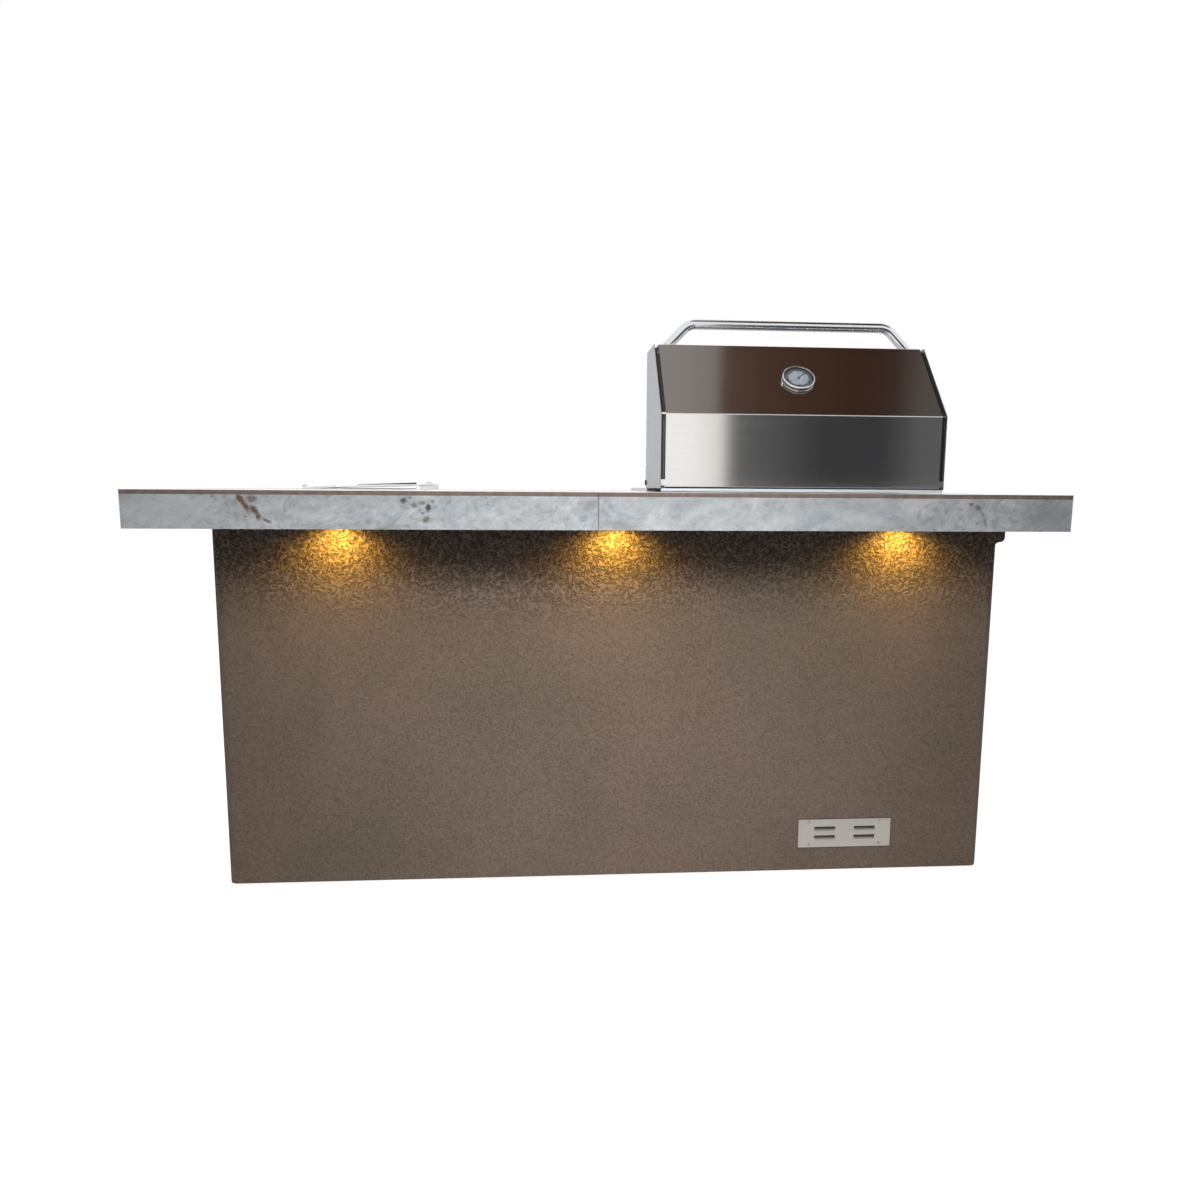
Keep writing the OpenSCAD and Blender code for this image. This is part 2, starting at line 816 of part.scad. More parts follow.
module firebox_walls() {
    difference() {
        box([box_x0, box_y0, box_z0], [box_x1, box_y1, counter_h + rim_h]);
        box([box_x0 + sheet_t, box_y0 + sheet_t, box_z0 + sheet_t],
            [box_x1 - sheet_t, box_y1 - sheet_t, counter_h + rim_h + over]);
        translate([hood_mid - grease_w / 2, (box_y0 + box_y1 - grease_d) / 2, box_z0 - over])
            cube([grease_w, grease_d, sheet_t + 2 * over]);
        for (x = burner_xs) translate([x, box_y1 - sheet_t - over, burner_z])
            rotate([-90, 0, 0]) cylinder(h = sheet_t + 2 * over, r = burner_r + fit);
    }
}

module firebox_rim() {
    difference() {
        box([hood_x0, rim_y0, counter_h], [hood_x1, rim_y1, counter_h + rim_h]);
        box([hood_x0 + sheet_t, rim_y0 + sheet_t, counter_h - over],
            [hood_x1 - sheet_t, rim_y1 - sheet_t, counter_h + rim_h - sheet_t]);
        box([box_x0 + sheet_t, box_y0 + sheet_t, counter_h - over],
            [box_x1 - sheet_t, box_y1 - sheet_t, counter_h + rim_h + over]);
    }
}

module firebox_ledge(y, z) {
    box([box_x0 + sheet_t - fit, y, z - sheet_t], [box_x1 - sheet_t + fit, y + ledge_w, z]);
}

// Angles under the firebox that the drip tray runs on
module tray_runners() {
    for (side = [-1, 1]) {
        x = hood_mid + side * (tray_w / 2 + slide_fit + sheet_t / 2);
        box([x - sheet_t / 2, box_y0, tray_z - slide_fit - sheet_t],
            [x + sheet_t / 2, box_y1, box_z0 + sheet_t / 2]);
        lip = side * ledge_w;
        box([min(x, x - lip), box_y0, tray_z - slide_fit - sheet_t],
            [max(x, x - lip), box_y1, tray_z - slide_fit]);
    }
}

module grill_firebox() {
    color("silver") difference() {
        union() {
            firebox_walls();
            firebox_rim();
            for (z = [tamer_z, grate_z]) {
                firebox_ledge(box_y0 + sheet_t - fit, z);
                firebox_ledge(box_y1 - sheet_t - ledge_w + fit, z);
            }
            tray_runners();
            for (x = [hood_x0 + cap_t + over, hood_x1 - cap_t - over - bracket_t])
                box([x, hinge_y - bracket_w / 2, counter_h + rim_h - sheet_t],
                    [x + bracket_t, hinge_y + bracket_w / 2, hinge_z + bracket_w / 2]);
        }
        translate([hood_x0, hinge_y, hinge_z]) rotate([0, 90, 0])
            cylinder(h = hood_w, r = pin_r + run_fit);
    }
}

module burners() {
    color("gray") for (x = burner_xs)
        translate([x, box_y0 + sheet_t, burner_z]) rotate([-90, 0, 0]) difference() {
            cylinder(h = box_y1 - box_y0 + ledge_w, r = burner_r);
            translate([0, 0, sheet_t])
                cylinder(h = box_y1 - box_y0 + ledge_w, r = burner_r - sheet_t);
        }
}

tamer_w = 120;
tamer_h = 34;

module flame_tamers() {
    l = box_y1 - box_y0 - 2 * sheet_t - 2 * fit;
    roof = [[-tamer_w / 2, 0], [0, tamer_h], [tamer_w / 2, 0],
        [tamer_w / 2 - 2 * sheet_t, 0], [0, tamer_h - 2 * sheet_t],
        [-tamer_w / 2 + 2 * sheet_t, 0]];
    color("dimgray") for (x = burner_xs)
        translate([x, box_y0 + sheet_t + fit, tamer_z]) rotate([90, 0, 180])
            linear_extrude(l) polygon(roof);
}

grate_bar_w = 6;
grate_bar_h = 12;
grate_bars = 11;
grate_gap = 2;

module cooking_grates() {
    grate_w = (box_x1 - box_x0 - 2 * sheet_t) / 3 - grate_gap;
    l = box_y1 - box_y0 - 2 * sheet_t - 2 * fit;
    color("dimgray") for (i = [0 : 2])
        translate([box_x0 + sheet_t + grate_gap / 2 + i * (grate_w + grate_gap),
            box_y0 + sheet_t + fit, grate_z]) {
            for (k = [0 : grate_bars - 1])
                translate([k * (grate_w - grate_bar_w) / (grate_bars - 1), 0, 0])
                    cube([grate_bar_w, l, grate_bar_h]);
            for (y = [0, (l - grate_bar_w) / 2, l - grate_bar_w])
                translate([0, y, 0]) cube([grate_w, grate_bar_w, grate_bar_h - grate_bar_w / 2]);
        }
}

rack_r = 3;
rack_rod_r = 2.4;
rack_up = 120;
rack_d = 100;
rack_rods = 7;
rack_inset = 15;

module warming_rack() {
    x0 = hood_x0 + rack_inset;
    x1 = hood_x1 - rack_inset;
    y0 = hinge_y + firebox_side;
    z = counter_h + rim_h + rack_up;
    color("silver") {
        for (x = [x0, x1]) {
            for (y = [y0, y0 + rack_d])
                translate([x, y, counter_h + rim_h]) cylinder(h = rack_up, r = rack_r);
            translate([x - rack_r, y0 - rack_r, z - rack_r])
                cube([2 * rack_r, rack_d + 2 * rack_r, 2 * rack_r]);
        }
        for (i = [0 : rack_rods - 1])
            translate([x0, y0 + i * rack_d / (rack_rods - 1), z]) rotate([0, 90, 0])
                cylinder(h = x1 - x0, r = rack_rod_r);
    }
}

// Gas and controls

manifold_r = 10;
manifold_drop = 52;
manifold_back = 20;
manifold_z = counter_h - manifold_drop;
manifold_y = y_chef - manifold_back;
valve_w = 26;
valve_h = 30;
orifice_w = 16;
stem_r = 4;
knob_xs = burner_xs;
bezel_margin = 8;
bezel_r = knob_r + bezel_margin;
igniter_r = 9;
igniter_x = (knob_xs[0] + knob_xs[1]) / 2;
igniter_out = 8;
igniter_in = 8;
igniter_boss_l = 16;
stem_in_knob = 16;

module gas_manifold() {
    color("goldenrod") {
        translate([knob_xs[0] - valve_w, manifold_y, manifold_z]) rotate([0, 90, 0])
            cylinder(h = knob_xs[2] - knob_xs[0] + 2 * valve_w, r = manifold_r);
        for (x = knob_xs) {
            box([x - valve_w / 2, manifold_y - valve_w / 2, manifold_z - valve_h / 2],
                [x + valve_w / 2, manifold_y + valve_w / 2, manifold_z + valve_h / 2]);
            translate([x, manifold_y, manifold_z]) rotate([-90, 0, 0])
                cylinder(h = panel_face + knob_bezel_t + fit + stem_in_knob - manifold_y,
                    r = stem_r);
            // Orifice block on the burner's mouth, and its riser to the valve
            box([x - orifice_w / 2, box_y1 + ledge_w + sheet_t, burner_z - orifice_w / 2],
                [x + orifice_w / 2, manifold_y + valve_w / 4, burner_z + orifice_w / 2]);
            box([x - orifice_w / 2, manifold_y - valve_w / 4, burner_z],
                [x + orifice_w / 2, manifold_y + valve_w / 4, manifold_z]);
        }
    }
}

pipe_r = 8;
pipe_clear = 6;
pipe_end = 28;
pipe_jog_drop = 24;
pipe_jog_clear = 30;
inlet_r = 7;
inlet_l = 30;
union_r = 12;
union_h = 14;
cock_share = 0.62;
cock_h = 26;
cock_lever_l = 44;
cock_lever_t = 4;

// Hangs before the firebox from the manifold's right end, and steps in behind the door's
// rail below the tray. Its nipple, under the union nut, takes the gas hose from below.
module gas_supply_pipe() {
    x = knob_xs[2] + valve_w + pipe_r + fit;
    y = box_y1 + pipe_clear + pipe_r;
    y_in = frame_y1 - tube_w - pipe_jog_clear;
    jog_z = tray_z - pipe_jog_drop;
    foot_z = post_z + pipe_end;
    union_z = foot_z + inlet_l;
    cock_z = foot_z + (box_z0 - foot_z) * cock_share;
    color("goldenrod") {
        rod([x, y, jog_z], [x, y, manifold_z], pipe_r);
        rod([x, y, manifold_z], [x, manifold_y, manifold_z], pipe_r);
        rod([x, y_in, jog_z], [x, y, jog_z], pipe_r);
        rod([x, y_in, union_z], [x, y_in, jog_z], pipe_r);
        for (p = [[y, manifold_z], [manifold_y, manifold_z], [y, jog_z], [y_in, jog_z]])
            translate([x, p[0], p[1]]) sphere(pipe_r);
        translate([x, y_in, union_z]) cylinder(h = union_h, r = union_r);
        translate([x, y_in, foot_z]) cylinder(h = inlet_l, r = inlet_r);
        box([x - 2 * pipe_r, y_in - 2 * pipe_r, cock_z],
            [x + 2 * pipe_r, y_in + 2 * pipe_r, cock_z + cock_h]);
        box([x - cock_lever_l, y_in - 2 * pipe_r - cock_lever_t, cock_z + pipe_r],
            [x + pipe_r, y_in - 2 * pipe_r, cock_z + 2 * pipe_r]);
    }
}

module control_panel() {
    y0 = rim_y1 + fit;
    color("silver") difference() {
        union() {
            difference() {
                box([hood_x0, y0, panel_z], [hood_x1, panel_face, panel_top]);
                box([hood_x0 + sheet_t, y0 - over, panel_z - over],
                    [hood_x1 - sheet_t, panel_face - sheet_t, panel_top - sheet_t]);
                box([hood_x0 - over, y0 - over, panel_z - over],
                    [hood_x1 + over, y_chef + fit, counter_h + fit]);
            }
            translate([igniter_x, panel_face - igniter_boss_l, manifold_z])
                rotate([-90, 0, 0])
                    cylinder(h = igniter_boss_l - sheet_t / 2, r = igniter_r + 2 * sheet_t);
        }
        for (x = knob_xs) translate([x, panel_face + over, manifold_z]) rotate([90, 0, 0])
            cylinder(h = panel_out, r = stem_r + 2 * sheet_t);
        translate([igniter_x, panel_face - igniter_boss_l + sheet_t, manifold_z])
            rotate([-90, 0, 0]) cylinder(h = panel_out, r = igniter_r + run_fit);
    }
}

module knob_bezels() {
    color("darkgray") for (x = knob_xs) translate([x, panel_face, manifold_z])
        rotate([-90, 0, 0]) difference() {
            cylinder(h = knob_bezel_t, r = bezel_r);
            translate([0, 0, sheet_t]) cylinder(h = knob_bezel_t, r = bezel_r - 2 * sheet_t);
            translate([0, 0, -over]) cylinder(h = knob_bezel_t, r = stem_r + 2 * sheet_t);
        }
}

knob_grip_w = 12;
knob_mark_w = 2;
knob_waist_share = 0.8;

module knob(x) {
    skirt_l = knob_l / 3;
    waist_r = knob_r * knob_waist_share;
    color("#303030") translate([x, panel_face + knob_bezel_t + fit, manifold_z])
        rotate([-90, 0, 0]) difference() {
            union() {
                cylinder(h = skirt_l, r = knob_r);
                cylinder(h = knob_l / 2, r = waist_r);
                translate([-knob_grip_w / 2, -waist_r, 0])
                    cube([knob_grip_w, 2 * waist_r, knob_l]);
            }
            translate([0, 0, -over]) cylinder(h = stem_in_knob + over + fit, r = stem_r + run_fit);
            translate([-knob_mark_w / 2, -waist_r - over, knob_l - sheet_t])
                cube([knob_mark_w, knob_r / 2, knob_l]);
        }
}

module knob_left() knob(knob_xs[0]);
module knob_middle() knob(knob_xs[1]);
module knob_right() knob(knob_xs[2]);

module igniter_button() {
    color("#202020") translate([igniter_x, panel_face - igniter_in, manifold_z])
        rotate([-90, 0, 0]) cylinder(h = igniter_in + igniter_out, r = igniter_r);
}

tray_pull_t = 10;

module drip_tray() {
    y0 = box_y0 + ledge_w;
    y1 = body_y1 + fit;
    x0 = hood_mid - tray_w / 2;
    x1 = hood_mid + tray_w / 2;
    fascia_z = tray_z + (tray_h - tray_fascia_h) / 2;
    color("silver") {
        difference() {
            box([x0, y0, tray_z], [x1, y1, tray_z + tray_h]);
            box([x0 + sheet_t, y0 + sheet_t, tray_z + sheet_t],
                [x1 - sheet_t, y1 + over, tray_z + tray_h + over]);
        }
        box([x0 - unit_flange, y1, fascia_z],
            [x1 + unit_flange, y1 + sheet_t, fascia_z + tray_fascia_h]);
        box([x0, y1, fascia_z + tray_fascia_h - sheet_t],
            [x1, y1 + tray_pull_t, fascia_z + tray_fascia_h]);
        box([x0, y1 + tray_pull_t - sheet_t, fascia_z + tray_fascia_h - tray_pull_t],
            [x1, y1 + tray_pull_t, fascia_z + tray_fascia_h]);
    }
}

// Hood

// Outline of the hood in its own frame, with the hinge at zero, drawn in by i on every face
function hood_outline(i, low) = [
    [hood_back + i, low],
    [hood_back + i, hood_top - i],
    [hood_fold - i * tan(hood_slope / 2), hood_top - i],
    [hood_front - i, hood_brow - i * tan((90 - hood_slope) / 2)],
    [hood_front - i, low]
];

// Stands the hood's own frame at its hinge, opened
module at_hinge() {
    translate([0, hinge_y, hinge_z]) rotate([hood_open, 0, 0]) children();
}

module hood_sheet_2d(i, t) {
    difference() {
        polygon(hood_outline(i, hood_low));
        polygon(hood_outline(i + t, hood_low - over));
        // The back panel ends level with the pins, so that it clears the rim as it turns
        translate([hood_back - over, hood_low - over]) square([hinge_inset + over, -hood_low + over]);
    }
}

module hood_end_2d() {
    difference() {
        polygon(hood_outline(0, hood_low));
        translate([hood_back - over, hood_low - over]) square([hinge_inset + over, -hood_low + over]);
    }
    circle(hinge_inset);
}

module along_x(x0, x1) {
    translate([x0, 0, 0]) rotate([90, 0, 90]) linear_extrude(x1 - x0) children();
}

skin_x0 = hood_x0 + cap_t + reveal_w;
skin_x1 = hood_x1 - cap_t - reveal_w;
tab_l = 14;
rib_inset = 8;
rib_w = 5;
liner_inset = 20;
liner_low = liner_inset;
thermo_stem_r = 5;
thermo_mid = [(hood_fold + hood_front) / 2, (hood_top + hood_brow) / 2];

// Stands on the sloping face at the thermometer, with +Z straight out of it
module at_thermometer() {
    at_hinge() translate([hood_mid, thermo_mid[0], thermo_mid[1]])
        rotate([-hood_slope, 0, 0]) children();
}

module hood_skin() {
    color("silver") difference() {
        at_hinge() {
            along_x(skin_x0, skin_x1) hood_sheet_2d(0, sheet_t);
            for (x = [[hood_x0 + cap_t, skin_x0], [skin_x1, hood_x1 - cap_t]])
                along_x(x[0], x[1]) intersection() {
                    hood_sheet_2d(0, sheet_t);
                    union() {
                        translate([-tab_l / 2, hood_brow]) square([tab_l, hood_h]);
                        translate([hood_fold - sheet_t, hood_brow]) square([2 * sheet_t, hood_h]);
                    }
                }
        }
        at_thermometer() translate([0, 0, -hood_h / 4])
            cylinder(h = hood_h / 2, r = thermo_stem_r + fit);
    }
}

module hood_liner() {
    color("dimgray") difference() {
        at_hinge() along_x(hood_x0 + cap_t + rib_w + fit, hood_x1 - cap_t - rib_w - fit)
            intersection() {
                hood_sheet_2d(liner_inset, sheet_t);
                union() {
                    translate([hood_back, liner_low]) square([hood_d, hood_h]);
                    translate([hood_d / 2, hood_low]) square([hood_d, hood_h]);
                }
            }
        at_thermometer() translate([0, 0, -hood_h / 4])
            cylinder(h = hood_h / 2, r = thermo_stem_r + fit);
    }
}

// Spans from a to b along X, whichever is the lower
module across(a, b) {
    along_x(min(a, b), max(a, b)) children();
}

// An end cap with a fin in the reveal and a lip that meets the liner
module hood_end(x, side) {
    inner = x + side * cap_t;
    rib_end = inner + side * rib_w;
    color("silver") difference() {
        at_hinge() {
            across(x, inner) hood_end_2d();
            for (rib = [[rib_inset, rib_end], [liner_inset, rib_end + side * fit]])
                across(inner, rib[1]) intersection() {
                    hood_sheet_2d(rib[0], sheet_t);
                    translate([hood_back, liner_low]) square(hood_d + hood_h);
                }
        }
        at_hinge() translate([min(x, inner) - over, 0, 0]) rotate([0, 90, 0])
            cylinder(h = cap_t + 2 * over, r = pin_r + run_fit);
    }
}

module hood_end_left() hood_end(hood_x0, 1);
module hood_end_right() hood_end(hood_x1, -1);

module hood_hinge_pins() {
    color("#303030") {
        for (side = [-1, 1]) {
            x = side < 0 ? hood_x0 : hood_x1;
            translate([x + side * fit, hinge_y, hinge_z]) rotate([0, side * 90, 0])
                cylinder(h = pin_head_t, r = pin_head_r);
            translate([x + side * fit, hinge_y, hinge_z]) rotate([0, -side * 90, 0])
                cylinder(h = cap_t + over + bracket_t + fit, r = pin_r);
        }
    }
}

bend_r = 45;
bend_angle = 45;
handle_sides = 32;
bend_steps = 6;

// A ring of the handle on one side, t degrees into its bend. Past the bend it is slid down
// the leg until it lies on the front panel.
function handle_ring(side, t, r, on_panel) = [
    for (k = [0 : handle_sides - 1])
        let (
            a = 360 * k / handle_sides,
            x = handle_half + (bend_r + r * cos(a)) * sin(t),
            z = handle_off - bend_r + (bend_r + r * cos(a)) * cos(t),
            slide = on_panel ? z / tan(t) : 0
        )
        [side * (x + slide), r * sin(a), on_panel ? 0 : z]
];

// From the left foot over both bends to the right foot
handle_stations = concat(
    [[-1, bend_angle, true]],
    [for (i = [bend_steps : -1 : 0]) [-1, i * bend_angle / bend_steps, false]],
    [for (i = [0 : bend_steps]) [1, i * bend_angle / bend_steps, false]],
    [[1, bend_angle, true]]
);

// The tube runs out along its outer wall and back along its bore, so it closes on itself
handle_loop = concat(
    [for (s = handle_stations) handle_ring(s[0], s[1], handle_r, s[2])],
    [for (i = [len(handle_stations) - 1 : -1 : 0])
        let (s = handle_stations[i]) handle_ring(s[0], s[1], handle_r - handle_wall, s[2])]
);

// Here +Z points out of the hood's front panel
module hood_handle() {
    rings = len(handle_loop);
    color("lightgray") at_hinge() translate([hood_mid, hood_front, handle_up])
        rotate([-90, 0, 0]) polyhedron(
            points = [for (ring = handle_loop, q = ring) q],
            faces = [
                for (i = [0 : rings - 1], k = [0 : handle_sides - 1])
                    let (
                        next_ring = (i + 1) % rings,
                        next_k = (k + 1) % handle_sides,
                        p0 = i * handle_sides + k,
                        p1 = i * handle_sides + next_k,
                        p2 = next_ring * handle_sides + next_k,
                        p3 = next_ring * handle_sides + k
                    )
                    each [[p0, p2, p1], [p0, p3, p2]]
            ]
        );
}

thermo_lip = 4.5;
dial_t = 1;
dial_z = 4;
post_r = 1.5;
needle_w = 2.4;
glass_t = 1.5;
thermo_probe = 30;
thermo_stem_l = liner_inset + thermo_probe;
lug_w = 8;
lug_turn = 200;
needle_share = 0.66;
needle_rest = -45;

module thermometer_case() {
    color("lightgray") at_thermometer() {
        difference() {
            union() {
                cylinder(h = thermo_h, r = thermo_r);
                rotate([0, 0, lug_turn]) translate([thermo_r - over, -lug_w / 2, 0])
                    cube([thermo_lip, lug_w, thermo_h / 2]);
            }
            translate([0, 0, dial_z]) cylinder(h = thermo_h, r = thermo_r - thermo_lip);
        }
        translate([0, 0, -thermo_stem_l]) cylinder(h = thermo_stem_l + over, r = thermo_stem_r);
    }
}

module thermometer_dial() {
    color("white") at_thermometer() translate([0, 0, dial_z]) {
        cylinder(h = dial_t, r = thermo_r - thermo_lip - fit);
        cylinder(h = 3 * dial_t + fit, r = post_r);
    }
}

module thermometer_needle() {
    color("black") at_thermometer() translate([0, 0, dial_z + dial_t + fit])
        rotate([0, 0, needle_rest]) difference() {
            union() {
                cylinder(h = 2 * dial_t, r = 2 * post_r);
                translate([-needle_w / 2, 0, 0])
                    cube([needle_w, thermo_r * needle_share, dial_t]);
            }
            translate([0, 0, -over]) cylinder(h = 4 * dial_t, r = post_r + run_fit);
        }
}

module thermometer_glass() {
    color([0.8, 0.9, 1, 0.4]) at_thermometer()
        translate([0, 0, thermo_h - glass_t - dial_t])
            cylinder(h = glass_t, r = thermo_r - thermo_lip - fit);
}

// Doors under the grill

door_pin_inset = 7;
door_pin_r = 3;
door_stand_off = 3.2;
door_back = body_y1 + sheet_t + door_stand_off;
door_mid_gap = 4;
door_tab_t = 5;
door_low = door_z + unit_flange / 2;
door_high = door_z + door_unit_h - unit_flange / 2;
leaf_x0 = door_x0 + unit_flange / 2;
leaf_x1 = door_x0 + door_w - unit_flange / 2;
leaf_w = (leaf_x1 - leaf_x0 - door_mid_gap) / 2;
pull_r = 6;
pull_post_r = 4.8;
pull_l = 200;
pull_off = 26;
sleeve_d = 30;

// A flange on the stucco with a sleeve through the boards
module unit_frame(x0, z0, w, h, deep) {
    difference() {
        union() {
            box([x0, body_y1, z0], [x0 + w, body_y1 + sheet_t, z0 + h]);
            box([x0 + unit_flange, body_y1 - deep, z0 + unit_flange],
                [x0 + w - unit_flange, body_y1 + sheet_t, z0 + h - unit_flange]);
        }
        box([x0 + unit_flange + sheet_t, body_y1 - deep - over, z0 + unit_flange + sheet_t],
            [x0 + w - unit_flange - sheet_t, body_y1 + sheet_t + over,
                z0 + h - unit_flange - sheet_t]);
    }
}

module door_frame() {
    tab_w = 2 * door_pin_inset;
    color("silver") difference() {
        union() {
            unit_frame(door_x0, door_z, door_w, door_unit_h, sleeve_d);
            for (x = [leaf_x0, leaf_x1 - tab_w], z = [door_low - fit - door_tab_t, door_high + fit])
                box([x, body_y1, z], [x + tab_w, door_back + front_t, z + door_tab_t]);
        }
        for (x = [leaf_x0 + door_pin_inset, leaf_x1 - door_pin_inset])
            translate([x, door_back + front_t / 2, door_z - over])
                cylinder(h = door_unit_h + 2 * over, r = door_pin_r + run_fit);
    }
}

module bar_pull(l) {
    for (s = [-1, 1]) translate([s * (l / 2 - 2 * pull_r), 0, 0])
        cylinder(h = pull_off, r = pull_post_r);
    translate([-l / 2, 0, pull_off]) rotate([0, 90, 0]) cylinder(h = l, r = pull_r);
}

pin_depth = 20;

module door_leaf(x0, hinge_x, pull_x) {
    color("silver") difference() {
        union() {
            box([x0, door_back, door_low], [x0 + leaf_w, door_back + front_t, door_high]);
            translate([pull_x, door_back + front_t - sheet_t / 2, (door_low + door_high) / 2])
                rotate([-90, 90, 0]) bar_pull(pull_l);
        }
        box([x0 + 3 * door_pin_inset, door_back - over, door_low + 3 * door_pin_inset],
            [x0 + leaf_w - 3 * door_pin_inset, door_back + front_t - sheet_t,
                door_high - 3 * door_pin_inset]);
        for (z = [door_low - over, door_high - pin_depth])
            translate([hinge_x, door_back + front_t / 2, z])
                cylinder(h = pin_depth + over, r = door_pin_r + run_fit);
    }
}

pull_inset = 34;

module door_left() {
    door_leaf(leaf_x0, leaf_x0 + door_pin_inset, leaf_x0 + leaf_w - pull_inset);
}

module door_right() {
    door_leaf(leaf_x1 - leaf_w, leaf_x1 - door_pin_inset, leaf_x1 - leaf_w + pull_inset);
}

module door_pins() {
    l = door_tab_t + fit + pin_depth - over;
    color("gray") for (x = [leaf_x0 + door_pin_inset, leaf_x1 - door_pin_inset])
        for (z = [door_low - fit - door_tab_t, door_high + fit + door_tab_t - l])
            translate([x, door_back + front_t / 2, z]) cylinder(h = l, r = door_pin_r);
}

// Drawers

drawer_wall = 1.5;
bay_x0 = drawer_x0 + unit_flange + sheet_t;
bay_x1 = drawer_x0 + drawer_unit_w - unit_flange - sheet_t;
bay_z0 = unit_z + unit_flange + sheet_t;
bay_z1 = unit_z + drawer_unit_h - unit_flange - sheet_t;
shelf_z = (bay_z0 + bay_z1) / 2;
drawer_side_gap = 10;

module drawer_frame() {
    deep = drawer_d + ledge_w;
    color("silver") {
        unit_frame(drawer_x0, unit_z, drawer_unit_w, drawer_unit_h, deep);
        box([bay_x0 - fit, body_y1 - deep, shelf_z - sheet_t],
            [bay_x1 + fit, body_y1, shelf_z]);
        for (z = [bay_z0 - fit, shelf_z - fit], x = [bay_x0 - fit, bay_x1 - drawer_side_gap])
            box([x, body_y1 - deep, z], [x + drawer_side_gap + fit, body_y1, z + ledge_w]);
    }
}

drawer_head = 35;
drawer_fronts_z0 = unit_z + unit_flange / 2;
drawer_fronts_z1 = unit_z + drawer_unit_h - unit_flange / 2;
drawer_split = shelf_z - sheet_t / 2;

// An open steel box between z0 and z1 behind a folded front between f0 and f1
module drawer(z0, z1, f0, f1) {
    x0 = bay_x0 + drawer_side_gap + slide_fit;
    x1 = bay_x1 - drawer_side_gap - slide_fit;
    y0 = body_y1 - drawer_d;
    fx0 = drawer_x0 + unit_flange / 2;
    fx1 = drawer_x0 + drawer_unit_w - unit_flange / 2;
    box_top = z1 - drawer_head;
    color("silver") {
        difference() {
            box([x0, y0, z0 + slide_fit], [x1, door_back + sheet_t, box_top]);
            box([x0 + drawer_wall, y0 + drawer_wall, z0 + slide_fit + drawer_wall],
                [x1 - drawer_wall, door_back, box_top + over]);
        }
        difference() {
            box([fx0, door_back, f0], [fx1, door_back + front_t, f1]);
            box([fx0 + sheet_t, door_back + sheet_t, f0 + sheet_t],
                [fx1 - sheet_t, door_back + front_t - sheet_t, f1 - sheet_t]);
            // The fold is open underneath
            box([fx0 + door_tab_t, door_back + sheet_t, f0 - over],
                [fx1 - door_tab_t, door_back + front_t - sheet_t, f0 + 2 * sheet_t]);
        }
        translate([(x0 + x1) / 2, door_back + front_t - sheet_t / 2, (f0 + f1) / 2])
            rotate([-90, 0, 0]) bar_pull(pull_l);
    }
}

module drawer_bottom() {
    drawer(bay_z0, shelf_z - sheet_t, drawer_fronts_z0, drawer_split - door_mid_gap / 2);
}

module drawer_top() {
    drawer(shelf_z, bay_z1, drawer_split + door_mid_gap / 2, drawer_fronts_z1);
}

base_frame();
frame_posts();
top_frame();
overhang_brackets();
levelling_feet();
board_bar_side();
board_left_end();
board_right_end();
board_chef_side();
stucco_coat();
end_corbel();
vent_plates();
vent_screws();
counter_deck();
soffit_board();
top_slab_left();
top_slab_right();
apron_bar_left();
apron_bar_right();
apron_ends();
apron_chef_side();
light_housings();
light_lenses();
light_driver();
light_cable();
ice_bin();
ice_bin_jacket();
ice_bin_lid();
ice_bin_lid_pins();
grill_firebox();
burners();
flame_tamers();
cooking_grates();
warming_rack();
gas_manifold();
gas_supply_pipe();
control_panel();
knob_bezels();
knob_left();
knob_middle();
knob_right();
igniter_button();
drip_tray();
hood_skin();
hood_liner();
hood_end_left();
hood_end_right();
hood_handle();
hood_hinge_pins();
thermometer_case();
thermometer_dial();
thermometer_needle();
thermometer_glass();
door_frame();
door_left();
door_right();
door_pins();
drawer_frame();
drawer_top();
drawer_bottom();
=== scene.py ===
from math import atan2, cos, pi, radians, sin, tan
import bpy
import bmesh
from mathutils import Matrix, Vector


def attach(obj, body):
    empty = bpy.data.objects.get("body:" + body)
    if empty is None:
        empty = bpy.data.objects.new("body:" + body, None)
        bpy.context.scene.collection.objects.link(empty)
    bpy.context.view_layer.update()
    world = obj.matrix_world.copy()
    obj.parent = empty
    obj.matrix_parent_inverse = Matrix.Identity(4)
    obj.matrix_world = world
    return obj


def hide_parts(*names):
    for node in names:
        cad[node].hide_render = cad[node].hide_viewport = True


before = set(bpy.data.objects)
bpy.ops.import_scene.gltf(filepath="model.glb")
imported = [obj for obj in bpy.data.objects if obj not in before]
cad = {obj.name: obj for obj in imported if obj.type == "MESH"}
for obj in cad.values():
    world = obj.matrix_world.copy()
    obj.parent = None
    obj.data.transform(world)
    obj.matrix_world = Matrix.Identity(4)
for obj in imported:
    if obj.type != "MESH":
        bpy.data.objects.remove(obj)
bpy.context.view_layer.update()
scene = bpy.context.scene
scene.view_settings.view_transform = "Standard"

# Viewpoint: just above the counter's height on the bar side, left of the grill and looking
# slightly down. The lens and the small shift put the counter, hood and body where the
# photograph has them.
yaw, pitch, roll = 0.0765, 0.1444, 0.0072
pixels, focal, middle_x, middle_y = 1200, 921.1, 614.8, 619.9
ahead = Vector((sin(yaw) * cos(pitch), cos(yaw) * cos(pitch), -sin(pitch)))
sideways = Vector((cos(yaw), -sin(yaw), 0))
upright = sideways.cross(ahead)
across = sideways * cos(roll) + upright * sin(roll)
upright = upright * cos(roll) - sideways * sin(roll)
viewpoint = bpy.data.objects.new("viewpoint", bpy.data.cameras.new("viewpoint"))
scene.collection.objects.link(viewpoint)
scene.camera = viewpoint
viewpoint.data.sensor_fit = "HORIZONTAL"
viewpoint.data.sensor_width = 36
viewpoint.data.lens = 36 * focal / pixels
viewpoint.data.shift_x = 0.5 - middle_x / pixels
viewpoint.data.shift_y = middle_y / pixels - 0.5
viewpoint.data.clip_end = 100
